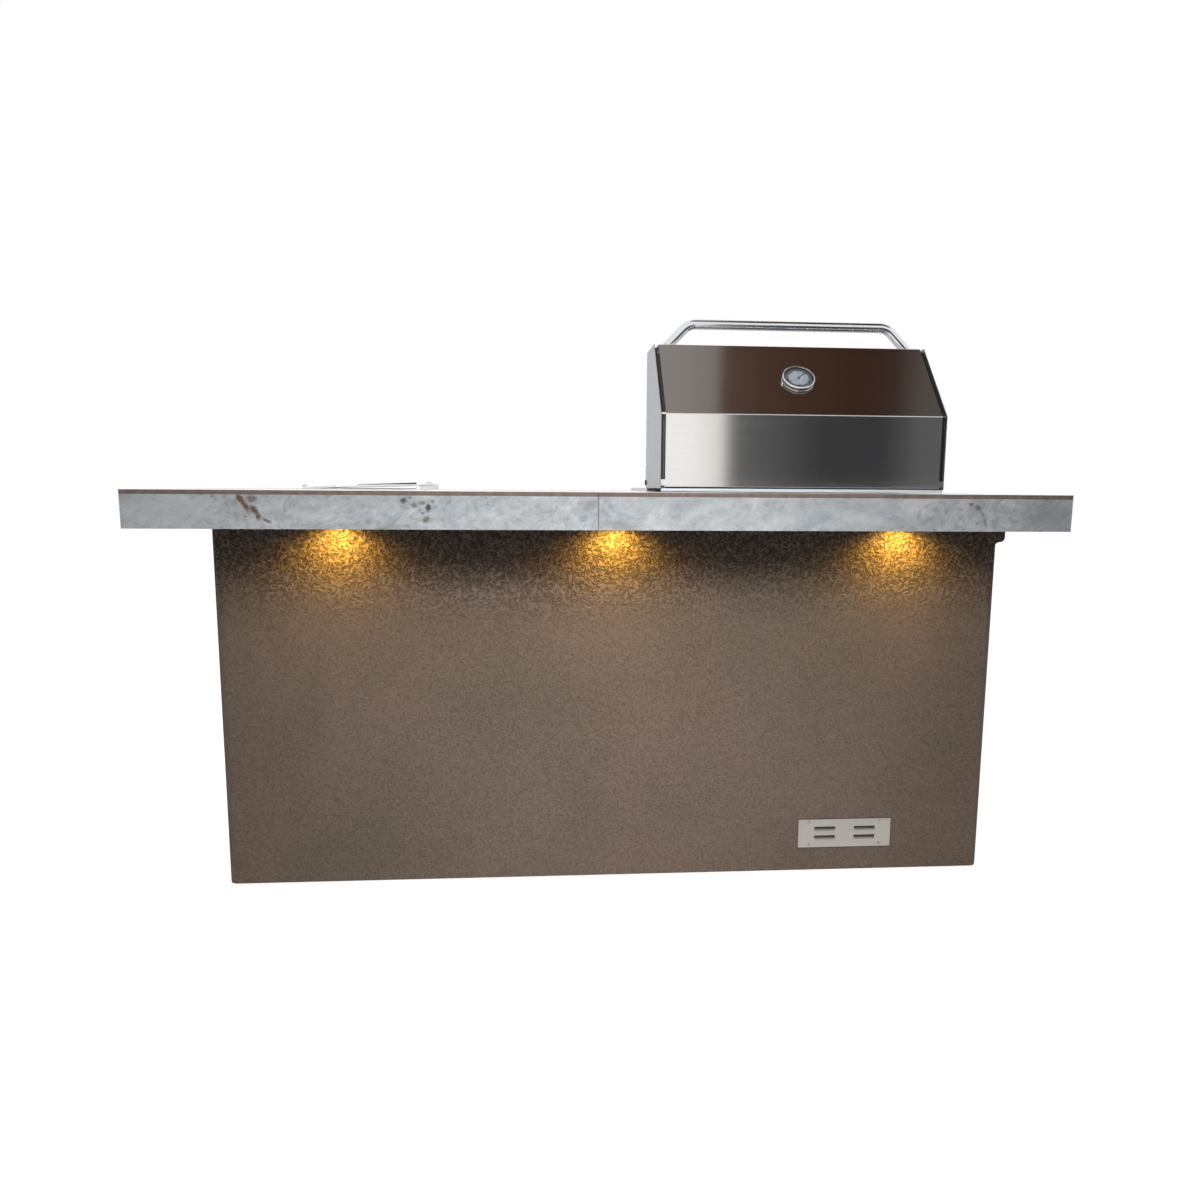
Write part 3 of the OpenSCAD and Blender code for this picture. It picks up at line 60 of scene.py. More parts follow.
viewpoint.matrix_world = Matrix.Translation((-0.1445, -2.4359, 0.9272)) @ Matrix(
    (across, upright, -ahead)).transposed().to_4x4()

# Studio: a seamless pale floor under a white surround, with soft lights on the bar side,
# overhead and on the chef side. Flags seen only in the metal shade the polished hood.
def opaque(shade):
    """A shade with full cover, in which a bare number is a grey."""
    return (*shade, 1) if isinstance(shade, tuple) else (shade, shade, shade, 1)


def surface(finish):
    return finish.node_tree.nodes["Principled BSDF"].inputs


def new_finish(name, colour, roughness=0.5, metallic=0.0):
    finish = bpy.data.materials.new(name)
    finish.use_nodes = True
    surface(finish)["Base Color"].default_value = opaque(colour)
    surface(finish)["Roughness"].default_value = roughness
    surface(finish)["Metallic"].default_value = metallic
    return finish


def wire(finish, kind, sockets=None, take=0, **settings):
    """A new node whose sockets get values or links, and the output that is taken from it."""
    step = finish.node_tree.nodes.new("ShaderNode" + kind)
    for key, value in settings.items():
        setattr(step, key, value)
    for key, value in (sockets or {}).items():
        if isinstance(value, bpy.types.NodeSocket):
            finish.node_tree.links.new(value, step.inputs[key])
        else:
            step.inputs[key].default_value = value
    return step.outputs[take] if step.outputs else None


def worked(finish, operation, *values, kind="Math", take=0):
    return wire(finish, kind, dict(enumerate(values)), take, operation=operation)


def feed(finish, source, socket):
    finish.node_tree.links.new(source, surface(finish)[socket])


def stood(name, data):
    made = bpy.data.objects.new(name, data)
    scene.collection.objects.link(made)
    return made


def flat_piece(name, corners, finish):
    mesh = bpy.data.meshes.new(name)
    mesh.from_pydata(corners, [], [range(len(corners))])
    mesh.materials.append(finish)
    made = stood(name, mesh)
    return made


def seen_directly(finish):
    camera, glossy, through = [wire(finish, "LightPath", take=ray)
        for ray in ("Is Camera Ray", "Is Glossy Ray", "Is Transmission Ray")]
    return worked(finish, "MAXIMUM", worked(finish, "MAXIMUM", camera, glossy), through)


floor_reach, floor_glow = 30, 0.82
pale_floor = new_finish("pale_floor", 0.42, 0.9)
surface(pale_floor)["Emission Color"].default_value = opaque(1)
feed(pale_floor, worked(pale_floor, "MULTIPLY", seen_directly(pale_floor), floor_glow),
    "Emission Strength")
flat_piece("pale_floor", [(x * floor_reach, y * floor_reach, 0)
    for x, y in ((-1, -1), (1, -1), (1, 1), (-1, 1))], pale_floor)

surround = bpy.data.worlds.new("surround")
surround.use_nodes = True
scene.world = surround
sky = surround.node_tree.nodes["Background"].inputs
sky["Color"].default_value = opaque(1)
sky_light = 0.42
surround.node_tree.links.new(worked(surround, "MULTIPLY_ADD", seen_directly(surround),
    1 - sky_light, sky_light), sky["Strength"])


def soft_light(name, place, aim, width, height, power, spread):
    lamp = bpy.data.lights.new(name, "AREA")
    lamp.shape = "RECTANGLE"
    lamp.spread = radians(spread)
    lamp.size, lamp.size_y, lamp.energy = width, height, power
    made = stood(name, lamp)
    made.location = place
    made.rotation_euler = (Vector(aim) - Vector(place)).to_track_quat("-Z", "Y").to_euler()
    made.visible_glossy = False


soft_light("bar_side_light", place=(0.1, -2.9, 2.3), aim=(-0.02, -0.34, 0.43), width=1.2,
    height=0.9, power=6.7, spread=44)
soft_light("overhead_light", place=(-0.4, -0.6, 3.6), aim=(0, 0, 0.9), width=3.0, height=2.0,
    power=24, spread=180)
soft_light("chef_side_light", place=(0.3, 3.6, 1.9), aim=(0, 0.4, 0.5), width=2.4, height=1.6,
    power=32, spread=110)


def place_on(finish):
    return wire(finish, "TexCoord", take="Object")


def place_along(finish, axis):
    return wire(finish, "SeparateXYZ", {0: place_on(finish)}, axis)


def ranged(finish, value, low, high, first=0.0, last=1.0, **settings):
    return wire(finish, "MapRange", {0: value, 1: low, 2: high, 3: first, 4: last}, **settings)


def shades(finish, value, *stops):
    """A colour ramp over (position, shade) stops."""
    shade = wire(finish, "ValToRGB", {"Fac": value})
    ramp = shade.node.color_ramp.elements
    for end in (0, -1):
        ramp[end].position, ramp[end].color = stops[end][0], opaque(stops[end][1])
    for at, colour in stops[1:-1]:
        ramp.new(at).color = opaque(colour)
    return shade


def flag(name, near, far, stops):
    """A glowing sheet between two edges in (y, z), shaded along x by (x, colour) stops and
    seen only in polished metal."""
    finish = bpy.data.materials.new(name)
    finish.use_nodes = True
    finish.node_tree.nodes.clear()
    begin, end = stops[0][0], stops[-1][0]
    share = ranged(finish, place_along(finish, "X"), begin, end)
    shade = shades(finish, share, *[((x - begin) / (end - begin), tone) for x, tone in stops])
    wire(finish, "OutputMaterial", {"Surface": wire(finish, "Emission", {"Color": shade})})
    made = flat_piece(name, [(begin, *near), (end, *near), (end, *far), (begin, *far)], finish)
    made.visible_camera = made.visible_diffuse = made.visible_shadow = False
    made.visible_transmission = False


flag("overhead_flag", (-1.3, 3.0), (0.6, 3.0), [(0.1, (0.37, 0.34, 0.32)),
    (0.445, (0.33, 0.3, 0.28)), (0.595, (0.27, 0.24, 0.22)), (0.645, (0.11, 0.068, 0.05)),
    (0.83, (0.082, 0.043, 0.029)), (1.2, (0.054, 0.023, 0.013)), (1.4, (0.05, 0.028, 0.02)),
    (1.52, (0.11, 0.088, 0.076)), (2.2, (0.15, 0.12, 0.1))])
flag("bar_side_flag", (-1.5, 0.02), (-1.5, 1.5), [(0.1, (1.3, 1.29, 1.26)),
    (0.4, (1.26, 1.25, 1.22)), (0.505, (1.05, 1.0, 0.96)), (0.54, (0.36, 0.35, 0.34)),
    (0.57, (0.15, 0.15, 0.148)), (0.66, (0.12, 0.12, 0.121)), (0.89, (0.048, 0.048, 0.051)),
    (1.12, (0.044, 0.045, 0.048)), (1.21, (0.09, 0.09, 0.091)), (1.27, 0.13), (2.2, 0.15)])

# Frame of the body: square steel tube, cut and welded into a base, eight posts, a top frame
# and arms for the overhangs, then galvanised all over.
def pattern(finish, scale, stretch=(1, 1, 1), detail=2.0, swirl=0.0, turn=(0, 0, 0)):
    """A noise over the piece's own place, stretched and turned, that drives the finishes."""
    laid = wire(finish, "Mapping", {"Vector": place_on(finish), "Rotation": turn})
    laid = wire(finish, "Mapping", {"Vector": laid, "Scale": stretch})
    return wire(finish, "TexNoise", {"Vector": laid, "Scale": scale, "Detail": detail,
        "Roughness": 0.55, "Distortion": swirl}, take="Fac")


def coloured(finish, colour):
    feed(finish, colour, "Base Color")


def tinted(finish, value, *stops):
    coloured(finish, shades(finish, value, *stops))


def relief(finish, height, depth, strength=1.0):
    normal = surface(finish)["Normal"]
    bump = {"Height": height, "Distance": depth, "Strength": strength}
    if normal.is_linked:
        bump["Normal"] = normal.links[0].from_socket
    feed(finish, wire(finish, "Bump", bump), "Normal")


def gloss(finish, value, low, high):
    feed(finish, ranged(finish, value, 0.3, 0.7, low, high), "Roughness")


def dress(finish, *names):
    for name in names:
        cad[name].material_slots[0].material = finish


crease = radians(35)


def plain_mesh(made):
    return bpy.data.meshes.new_from_object(
        made.evaluated_get(bpy.context.evaluated_depsgraph_get()))


def settle(name, form, body, finishes, stands_for=()):
    """The form as a smooth-shaded piece on its body, in place of the nodes it stands for."""
    mesh = bpy.data.meshes.new(name)
    form.to_mesh(mesh)
    form.free()
    mesh.polygons.foreach_set("use_smooth", [True] * len(mesh.polygons))
    mesh.set_sharp_from_angle(angle=crease)
    for finish in finishes:
        mesh.materials.append(finish)
    made = stood(name, mesh)
    made.modifiers.new("evened", "WEIGHTED_NORMAL").keep_sharp = True
    made.data = plain_mesh(made)
    made.modifiers.clear()
    made.data.name = name
    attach(made, body)
    if stands_for:
        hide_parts(*stands_for)


def merged(node):
    """A copy of a node's mesh, its loose triangles joined into whole flat faces."""
    form = bmesh.new()
    form.from_mesh(cad[node].data)
    bmesh.ops.remove_doubles(form, verts=form.verts, dist=2e-5)
    bmesh.ops.dissolve_limit(form, angle_limit=radians(0.5), verts=form.verts,
        edges=form.edges)
    return form


def edge_broken(form, width, keep=None):
    """Sharp edges rounded a little by a bevel in two steps, as a file or a wheel leaves them."""
    sharp = [edge for edge in form.edges if len(edge.link_faces) == 2
        and edge.calc_face_angle(0) > radians(40) and (keep is None or keep(edge))]
    bmesh.ops.bevel(form, geom=sharp, offset=width, offset_type="OFFSET", segments=2,
        profile=0.5, affect="EDGES", clamp_overlap=True)
    return form


def eased(node, width, body, finish, keep=None):
    form = edge_broken(merged(node), width, keep)
    settle(node + "_made", form, body, [finish], [node])


galvanised = new_finish("galvanised_tube", (0.42, 0.44, 0.45), 0.42, 0.85)
spangle = wire(galvanised, "TexVoronoi", {"Vector": place_on(galvanised), "Scale": 95.0},
    take="Color")
tinted(galvanised, spangle, (0.1, (0.36, 0.38, 0.39)), (0.9, (0.52, 0.54, 0.55)))
gloss(galvanised, pattern(galvanised, 60, detail=3), 0.32, 0.55)
relief(galvanised, pattern(galvanised, 240), 0.0002, 0.4)
dress(galvanised, "frame_posts", "overhang_brackets")
for node in ("base_frame", "top_frame"):
    eased(node, 0.002, "island", galvanised)

# Levelling feet: eight turned steel pads on threaded stems, zinc plated. They screw up into
# the base frame and are set until the island stands level.
foot_zinc = new_finish("foot_zinc", (0.5, 0.5, 0.47), 0.35, 1.0)
gloss(foot_zinc, pattern(foot_zinc, 300, (1, 1, 6)), 0.25, 0.45)
relief(foot_zinc, pattern(foot_zinc, 900, (0.05, 0.05, 1)), 0.0001, 0.5)
eased("levelling_feet", 0.0006, "island", foot_zinc)

# Cement boards: grey glass-fibre faced boards screwed to the posts on all four sides, the
# backing that the stucco is trowelled on.
board_grey = new_finish("board_grey", (0.36, 0.35, 0.33), 0.92)
tinted(board_grey, pattern(board_grey, 14, detail=5), (0.3, (0.28, 0.27, 0.255)),
    (0.7, (0.43, 0.42, 0.4)))
glass_weave = wire(board_grey, "TexWave", {"Vector": place_on(board_grey), "Scale": 130.0,
    "Distortion": 0.4}, take="Fac", bands_direction="DIAGONAL")
relief(board_grey, glass_weave, 0.0003, 0.5)
relief(board_grey, pattern(board_grey, 420), 0.0004, 0.7)
dress(board_grey, "board_bar_side", "board_left_end", "board_right_end", "board_chef_side")

# Stucco: a taupe sand coat trowelled over the boards and floated while wet, which raises
# small worm-like lumps of sand. The outer corners are rounded by hand.
def mixed(finish, share, first, second, blend="MIX"):
    return wire(finish, "Mix", {0: share, 6: first, 7: second}, 2, data_type="RGBA",
        blend_type=blend)


stucco = new_finish("taupe_stucco", (0.17, 0.13, 0.105), 0.93)
surface(stucco)["Specular IOR Level"].default_value = 0.25
patches = shades(stucco, pattern(stucco, 2.6, detail=4, swirl=0.6),
    (0.3, (0.15, 0.122, 0.096)), (0.5, (0.172, 0.132, 0.106)), (0.7, (0.19, 0.143, 0.117)))
sand = pattern(stucco, 135, detail=1.6, swirl=1.1)
lumps = shades(stucco, sand, (0.4, 0), (0.47, 0.7), (0.6, 1))
# Painted shade in the sand's pits and painted highlight on its lumps, most near the top.
fine_without_painted_shade_below, coarse_with_painted_shade_above = 0.58, 0.8
bar_face, round_corner = -0.336, -0.3
upper = ranged(stucco, place_along(stucco, "Z"), fine_without_painted_shade_below, coarse_with_painted_shade_above, 0.15, 1.0,
    interpolation_type="SMOOTHSTEP")
bar_side = ranged(stucco, place_along(stucco, "Y"), bar_face, round_corner, 1.0, 0.3)
coarse_relief_and_painted_shade = worked(stucco, "MULTIPLY", upper, bar_side)
fine_pits = shades(stucco, pattern(stucco, 230, detail=2), (0.34, (0.78, 0.77, 0.76)),
    (0.5, 1), (0.66, 1.16))
painted_pit_shade_and_lump_highlight = shades(stucco, sand, (0.38, (0.5, 0.49, 0.48)), (0.47, 0.87), (0.6, 1.32))
grain_and_painted_relief_shade = mixed(stucco, coarse_relief_and_painted_shade, fine_pits, painted_pit_shade_and_lump_highlight)
coloured(stucco, mixed(stucco, 1.0, patches, grain_and_painted_relief_shade, "MULTIPLY"))
relief(stucco, pattern(stucco, 9, detail=2), 0.004, 0.35)
relief(stucco, worked(stucco, "MULTIPLY", lumps, coarse_relief_and_painted_shade), 0.008, 1.0)
relief(stucco, pattern(stucco, 420, detail=1), 0.0008, 0.6)
eased("stucco_coat", 0.003, "island", stucco)

# Cove: a fillet in the same stucco as the walls, shaped by hand while wet, that carries the
# right overhang down into the end wall.
eased("end_corbel", 0.003, "island", stucco)

# Vents: stainless plates with four louvres pressed inward, one on the bar side and one on
# the left end, so that spilt gas can't gather. Two screws at each side hold a plate.
def brushed(name, colour, roughness, stretch, tone=0.06):
    """Steel brushed along the axes in which the pattern is stretched."""
    finish = new_finish(name, colour, roughness, 1.0)
    drawn = pattern(finish, 900, stretch, detail=1)
    tinted(finish, drawn, (0.3, tuple(c * (1 - tone) for c in colour)),
        (0.7, tuple(min(1, c * (1 + tone)) for c in colour)))
    gloss(finish, drawn, roughness * 0.9, roughness * 1.12)
    relief(finish, drawn, 0.00001, 0.4)
    relief(finish, pattern(finish, 3, detail=0), 0.0003, 0.15)
    return finish


def second_finish(form, test):
    """The faces that pass the test take the second of the piece's finishes."""
    form.normal_update()
    for face in form.faces:
        face.material_index = 1 if test(face, face.calc_center_median()) else 0
    return form


def two_toned(node, width, body, finishes, test, keep=None):
    form = second_finish(edge_broken(merged(node), width, keep), test)
    settle(node + "_made", form, body, finishes, [node])


level_grain = (0.03, 0.03, 1)
vent_steel = brushed("vent_steel", (0.425, 0.406, 0.387), 0.42, level_grain)
vent_painted_shade = brushed("vent_painted_shade", (0.1, 0.098, 0.095), 0.5, level_grain)
# The louvre recesses take painted shade, darkest at each louvre's top, lighter at its lip.
louvre_low, louvre_pitch = 0.08, 0.022
rise = ranged(vent_painted_shade, place_along(vent_painted_shade, "Z"), louvre_low, louvre_low + louvre_pitch,
    clamp=False)
tinted(vent_painted_shade, worked(vent_painted_shade, "FRACT", rise), (0.0, (0.4, 0.385, 0.37)),
    (0.14, (0.3, 0.29, 0.28)), (0.3, (0.12, 0.115, 0.11)), (0.5, (0.035, 0.033, 0.032)))
behind_bar_plate, behind_end_plate = -0.3405, -0.8795
two_toned("vent_plates", 0.0004, "island", [vent_steel, vent_painted_shade],
    lambda face, spot: spot.y > behind_bar_plate if spot.x > 0 else spot.x > behind_end_plate)


def around(count):
    return [2 * pi * k / count for k in range(count)]


def tube_along(form, path, radius, sides=28, closed=False):
    """A round tube that follows a path, its rings carried on without twist."""
    path = [Vector(p) for p in path]
    count = len(path)
    runs = [(path[(k + 1) % count] - path[k - 1]).normalized() if closed or 0 < k < count - 1
        else (path[min(k + 1, count - 1)] - path[max(k - 1, 0)]).normalized()
        for k in range(count)]
    side = runs[0].orthogonal().normalized()
    rings = []
    for k, run in enumerate(runs):
        side = (side - run * side.dot(run)).normalized()
        other = run.cross(side)
        rings.append([form.verts.new(path[k] + side * (radius * cos(a))
            + other * (radius * sin(a))) for a in around(sides)])
    pairs = list(zip(rings, rings[1:])) + ([(rings[-1], rings[0])] if closed else [])
    for low, high in pairs:
        for s in range(sides):
            t = (s + 1) % sides
            form.faces.new((low[s], low[t], high[t], high[s]))
    if not closed:
        form.faces.new(rings[0][::-1])
        form.faces.new(rings[-1])
    return form


def plain_finish(name, colour, roughness, grain, depth=0.0001, strength=0.5, metallic=0.0):
    finish = new_finish(name, colour, roughness, metallic)
    relief(finish, pattern(finish, grain), depth, strength)
    return finish


sealant_grey = plain_finish("sealant_grey", (0.05, 0.048, 0.045), 0.6, 300, 0.0004)
plate_low, plate_high, bead_radius = 0.0606, 0.1324, 0.0011
bead = bmesh.new()
for first, last in (((0.4646, -0.3412), (0.6944, -0.3412)),
        ((-0.8806, -0.0671), (-0.8806, 0.1628))):
    rim = [(*first, plate_low), (*last, plate_low), (*last, plate_high), (*first, plate_high)]
    for begin, end in zip(rim, rim[1:] + rim[:1]):
        tube_along(bead, [begin, end], bead_radius, 8)
bmesh.ops.recalc_face_normals(bead, faces=bead.faces)
settle("vent_sealant", bead, "island", [sealant_grey])

# Vent screws: stainless pan heads with a cross recess, four through each plate into the
# boards. A Geometry Nodes tree sets out these and all other small parts, each copy at a point
# that carries its own turn.
set_out = bpy.data.node_groups.new("set_out", "GeometryNodeTree")
for name, kind in (("Layout", "Geometry"), ("Part", "Object"), ("Size", "Float"),
        ("Finish", "Material")):
    set_out.interface.new_socket(name=name, in_out="INPUT", socket_type="NodeSocket" + kind)
set_out.interface.new_socket(name="Parts", in_out="OUTPUT", socket_type="NodeSocketGeometry")
start, end, part, turn, copies, real, coated = [set_out.nodes.new(kind) for kind in (
    "NodeGroupInput", "NodeGroupOutput", "GeometryNodeObjectInfo",
    "GeometryNodeInputNamedAttribute", "GeometryNodeInstanceOnPoints",
    "GeometryNodeRealizeInstances", "GeometryNodeSetMaterial")]
turn.data_type = "FLOAT_VECTOR"
turn.inputs["Name"].default_value = "turn"
for giver, given, taker, taken in ((start, "Part", part, "Object"),
        (start, "Layout", copies, "Points"), (part, "Geometry", copies, "Instance"),
        (turn, "Attribute", copies, "Rotation"), (start, "Size", copies, "Scale"),
        (copies, "Instances", real, "Geometry"), (real, "Geometry", coated, "Geometry"),
        (start, "Finish", coated, "Material"), (coated, "Geometry", end, "Parts")):
    set_out.links.new(giver.outputs[given], taker.inputs[taken])


def set_in_place(name, part, layout, body, finish, stands_for=()):
    """Copies of a part at a layout's (place, turn) pairs, as one piece of plain mesh."""
    part_mesh = bpy.data.meshes.new(name + "_part")
    part.to_mesh(part_mesh)
    part.free()
    part_made = bpy.data.objects.new(name + "_part", part_mesh)
    mesh = bpy.data.meshes.new(name)
    mesh.from_pydata([place for place, turn in layout], [], [])
    turns = mesh.attributes.new("turn", "FLOAT_VECTOR", "POINT")
    turns.data.foreach_set("vector", [c for place, turn in layout for c in turn])
    made = stood(name, mesh)
    maker = made.modifiers.new("set_out", "NODES")
    maker.node_group = set_out
    given = {"Part": part_made, "Size": 1.0, "Finish": finish}
    for socket in set_out.interface.items_tree:
        if socket.in_out == "INPUT" and socket.name in given:
            maker[socket.identifier] = given[socket.name]
    form = bmesh.new()
    form.from_mesh(plain_mesh(made))
    bpy.data.objects.remove(made)
    bpy.data.objects.remove(part_made)
    settle(name, form, body, [finish], stands_for)


def turned(profile, sides=24):
    """A round part turned about +Z from (radius, height) pairs, closed where the radius is 0."""
    form = bmesh.new()
    rings = [[form.verts.new((radius * cos(a), radius * sin(a), height))
        for a in (around(sides) if radius else [0])] for radius, height in profile]
    for low, high in zip(rings, rings[1:]):
        for near in range(sides):
            far = (near + 1) % sides
            form.faces.new(list(dict.fromkeys((low[near % len(low)], low[far % len(low)],
                high[far % len(high)], high[near % len(high)]))))
    bmesh.ops.recalc_face_normals(form, faces=form.faces)
    return form


def block(form, low, high):
    """A block between two corners, added to the form."""
    corners = [form.verts.new((x, y, z)) for x in (low[0], high[0])
        for y in (low[1], high[1]) for z in (low[2], high[2])]
    for face in ((0, 1, 3, 2), (4, 6, 7, 5), (0, 4, 5, 1), (2, 3, 7, 6), (0, 2, 6, 4),
            (1, 5, 7, 3)):
        form.faces.new([corners[k] for k in face])
    return form


def pan_head(radius, height, shank, length):
    """A screw with a domed head and a cross recess sunk in it, head upwards."""
    form = turned([(0, -length), (shank, -length + shank), (shank, 0), (radius, 0),
        (radius, height * 0.35), (radius * 0.86, height * 0.75), (radius * 0.55, height),
        (0, height)], 20)
    arm, half, deep = radius * 0.55, radius * 0.13, height * 0.45
    cross = [(half, half), (half, arm), (-half, arm)]
    while len(cross) < 12:
        cross.append((-cross[-3][1], cross[-3][0]))
    rim = [form.verts.new((x, y, height * 1.01)) for x, y in cross]
    pit = [form.verts.new((x * 0.7, y * 0.7, height - deep)) for x, y in cross]
    for k in range(12):
        form.faces.new((rim[k], pit[k], pit[(k + 1) % 12], rim[(k + 1) % 12]))
    form.faces.new(pit[::-1])
    return form


screw_steel = plain_finish("screw_steel", (0.45, 0.445, 0.435), 0.3, 1400, strength=0.3,
    metallic=1.0)
gloss(screw_steel, pattern(screw_steel, 900), 0.22, 0.4)
bar_x, bar_y, end_x, end_y, plate_z = 0.465, -0.34265, -0.882, 0.16235, 0.061
plate_holes = [(x, z) for x in (0.027, 0.202) for z in (0.007, 0.064)]
vent_layout = [((bar_x + x, bar_y, plate_z + z), (pi / 2, 0, 0.3 * k))
    for k, (x, z) in enumerate(plate_holes)]
vent_layout += [((end_x, end_y - x, plate_z + z), (pi / 2, 0, -pi / 2))
    for x, z in plate_holes]
set_in_place("vent_fixings", pan_head(0.004, 0.0016, 0.0019, 0.018), vent_layout, "island",
    screw_steel, stands_for=["vent_screws"])
# A near-black cross in each screw's recess is painted shade.
slot_half, slot_wide = 0.0024, 0.0006
recess = block(bmesh.new(), (-slot_half, -slot_wide, 0.0012), (slot_half, slot_wide, 0.0016))
block(recess, (-slot_wide, -slot_half, 0.0012), (slot_wide, slot_half, 0.00158))
set_in_place("vent_screw_recesses", recess, vent_layout, "island", sealant_grey)

# Deck and soffit: exterior plywood screwed to the top frame and to the overhang arms, the
# deck under the slabs and the soffit painted dark under the overhangs.
deck_ply = new_finish("deck_ply", (0.5, 0.34, 0.19), 0.7)
tinted(deck_ply, pattern(deck_ply, 22, (1, 9, 9), 4, 1.2), (0.3, (0.36, 0.22, 0.11)),
    (0.7, (0.6, 0.43, 0.26)))
relief(deck_ply, pattern(deck_ply, 120, (0.2, 4, 4), 3), 0.0004, 0.5)
dress(deck_ply, "counter_deck")
soffit_paint = new_finish("soffit_paint", (0.09, 0.075, 0.062), 0.75)
tinted(soffit_paint, pattern(soffit_paint, 30, detail=4), (0.3, (0.075, 0.062, 0.05)),
    (0.7, (0.11, 0.092, 0.076)))
relief(soffit_paint, pattern(soffit_paint, 350, (0.3, 1, 1)), 0.0003, 0.5)
dress(soffit_paint, "soffit_board")
soffit_under, first_x, first_y = 0.8361, -0.93, -0.35
soffit_layout = [((first_x + 0.155 * k, y, soffit_under), (pi, 0, 0.4 * k))
    for k in range(13) for y in (-0.503, 0.444)]
soffit_layout += [((x, first_y + 0.18 * k, soffit_under), (pi, 0, 0.7 * k))
    for k in range(5) for x in (first_x, 0.964)]
set_in_place("soffit_fixings", pan_head(0.0038, 0.0016, 0.0018, 0.009), soffit_layout,
    "island", screw_steel)

# Counter top: two slabs of pale marble-look porcelain, glued to the deck and butted at one
# joint. The sawn edge shows the brown body of the tile under its printed face.
slab_face = new_finish("slab_face", (0.74, 0.74, 0.72), 0.22)
veins = pattern(slab_face, 2.4, (1, 1.7, 1), 6, 1.6)
clouds = shades(slab_face, pattern(slab_face, 3.1, detail=5, swirl=0.8),
    (0.3, (0.66, 0.665, 0.66)), (0.65, (0.8, 0.8, 0.79)))
vein_mask = shades(slab_face, veins, (0.475, 0), (0.497, 0.5), (0.503, 0.5), (0.53, 0))
coloured(slab_face, mixed(slab_face, vein_mask, clouds, (0.45, 0.455, 0.47, 1)))
gloss(slab_face, veins, 0.16, 0.26)
slab_edge = new_finish("slab_edge", (0.16, 0.125, 0.11), 0.55)
tinted(slab_edge, pattern(slab_edge, 40, (1, 1, 0.3), 4), (0.3, (0.12, 0.088, 0.074)),
    (0.7, (0.215, 0.157, 0.132)))
relief(slab_edge, pattern(slab_edge, 700, (0.1, 1, 1)), 0.0001, 0.5)


def long_edge(edge):
    return edge.calc_length() > 0.004


for node in ("top_slab_left", "top_slab_right"):
    two_toned(node, 0.0007, "island", [slab_face, slab_edge],
        lambda face, spot: abs(face.normal.z) < 0.8, long_edge)

# Aprons: strips of the same porcelain in blue-grey, butted at the corners and glued to the
# deck's edge, 69 mm high. The bar side's marks lie where the photograph shows them.
band = new_finish("band_face", (0.44, 0.47, 0.49), 0.3)
clouded = shades(band, pattern(band, 6, (1, 1, 1.7), 7, 1.2, (0, 0.45, 0)),
    (0.3, (0.33, 0.357, 0.377)), (0.46, (0.39, 0.414, 0.433)), (0.56, (0.435, 0.452, 0.465)),
    (0.66, (0.49, 0.5, 0.507)), (0.75, (0.54, 0.547, 0.55)))
fine = shades(band, pattern(band, 42, (1, 1, 1.4), 6, 0.9),
    (0.32, (0.85, 0.86, 0.875)), (0.5, 1), (0.68, (1.1, 1.1, 1.09)))
clouded = mixed(band, 1.0, clouded, fine, "MULTIPLY")
lively = shades(band, ranged(band, place_along(band, "X"), -1.0, 1.0),
    (0.0, 0.45), (0.11, 1), (0.34, 0.75), (0.48, 1), (0.55, 0.2), (0.8, 0.35), (0.86, 1),
    (1.0, 0.9))
veining = shades(band, pattern(band, 21, (1, 1, 1.5), 9, 2.4, (0, 0.5, 0)),
    (0.34, (0.66, 0.68, 0.7)), (0.45, (0.94, 0.94, 0.95)), (0.56, 1.03),
    (0.68, (1.16, 1.16, 1.15)))
clouded = mixed(band, lively, clouded, veining, "MULTIPLY")
wobble = wire(band, "TexNoise", {"Vector": place_on(band), "Scale": 190.0,
    "Detail": 5.0, "Roughness": 0.7}, take="Color")
wobble = worked(band, "SUBTRACT", wobble, (0.5, 0.5, 0.5), kind="VectorMath")
wobbled = worked(band, "MULTIPLY_ADD", wobble, (0.012, 0.012, 0.012), place_on(band),
    kind="VectorMath")
apron_face = -0.52365
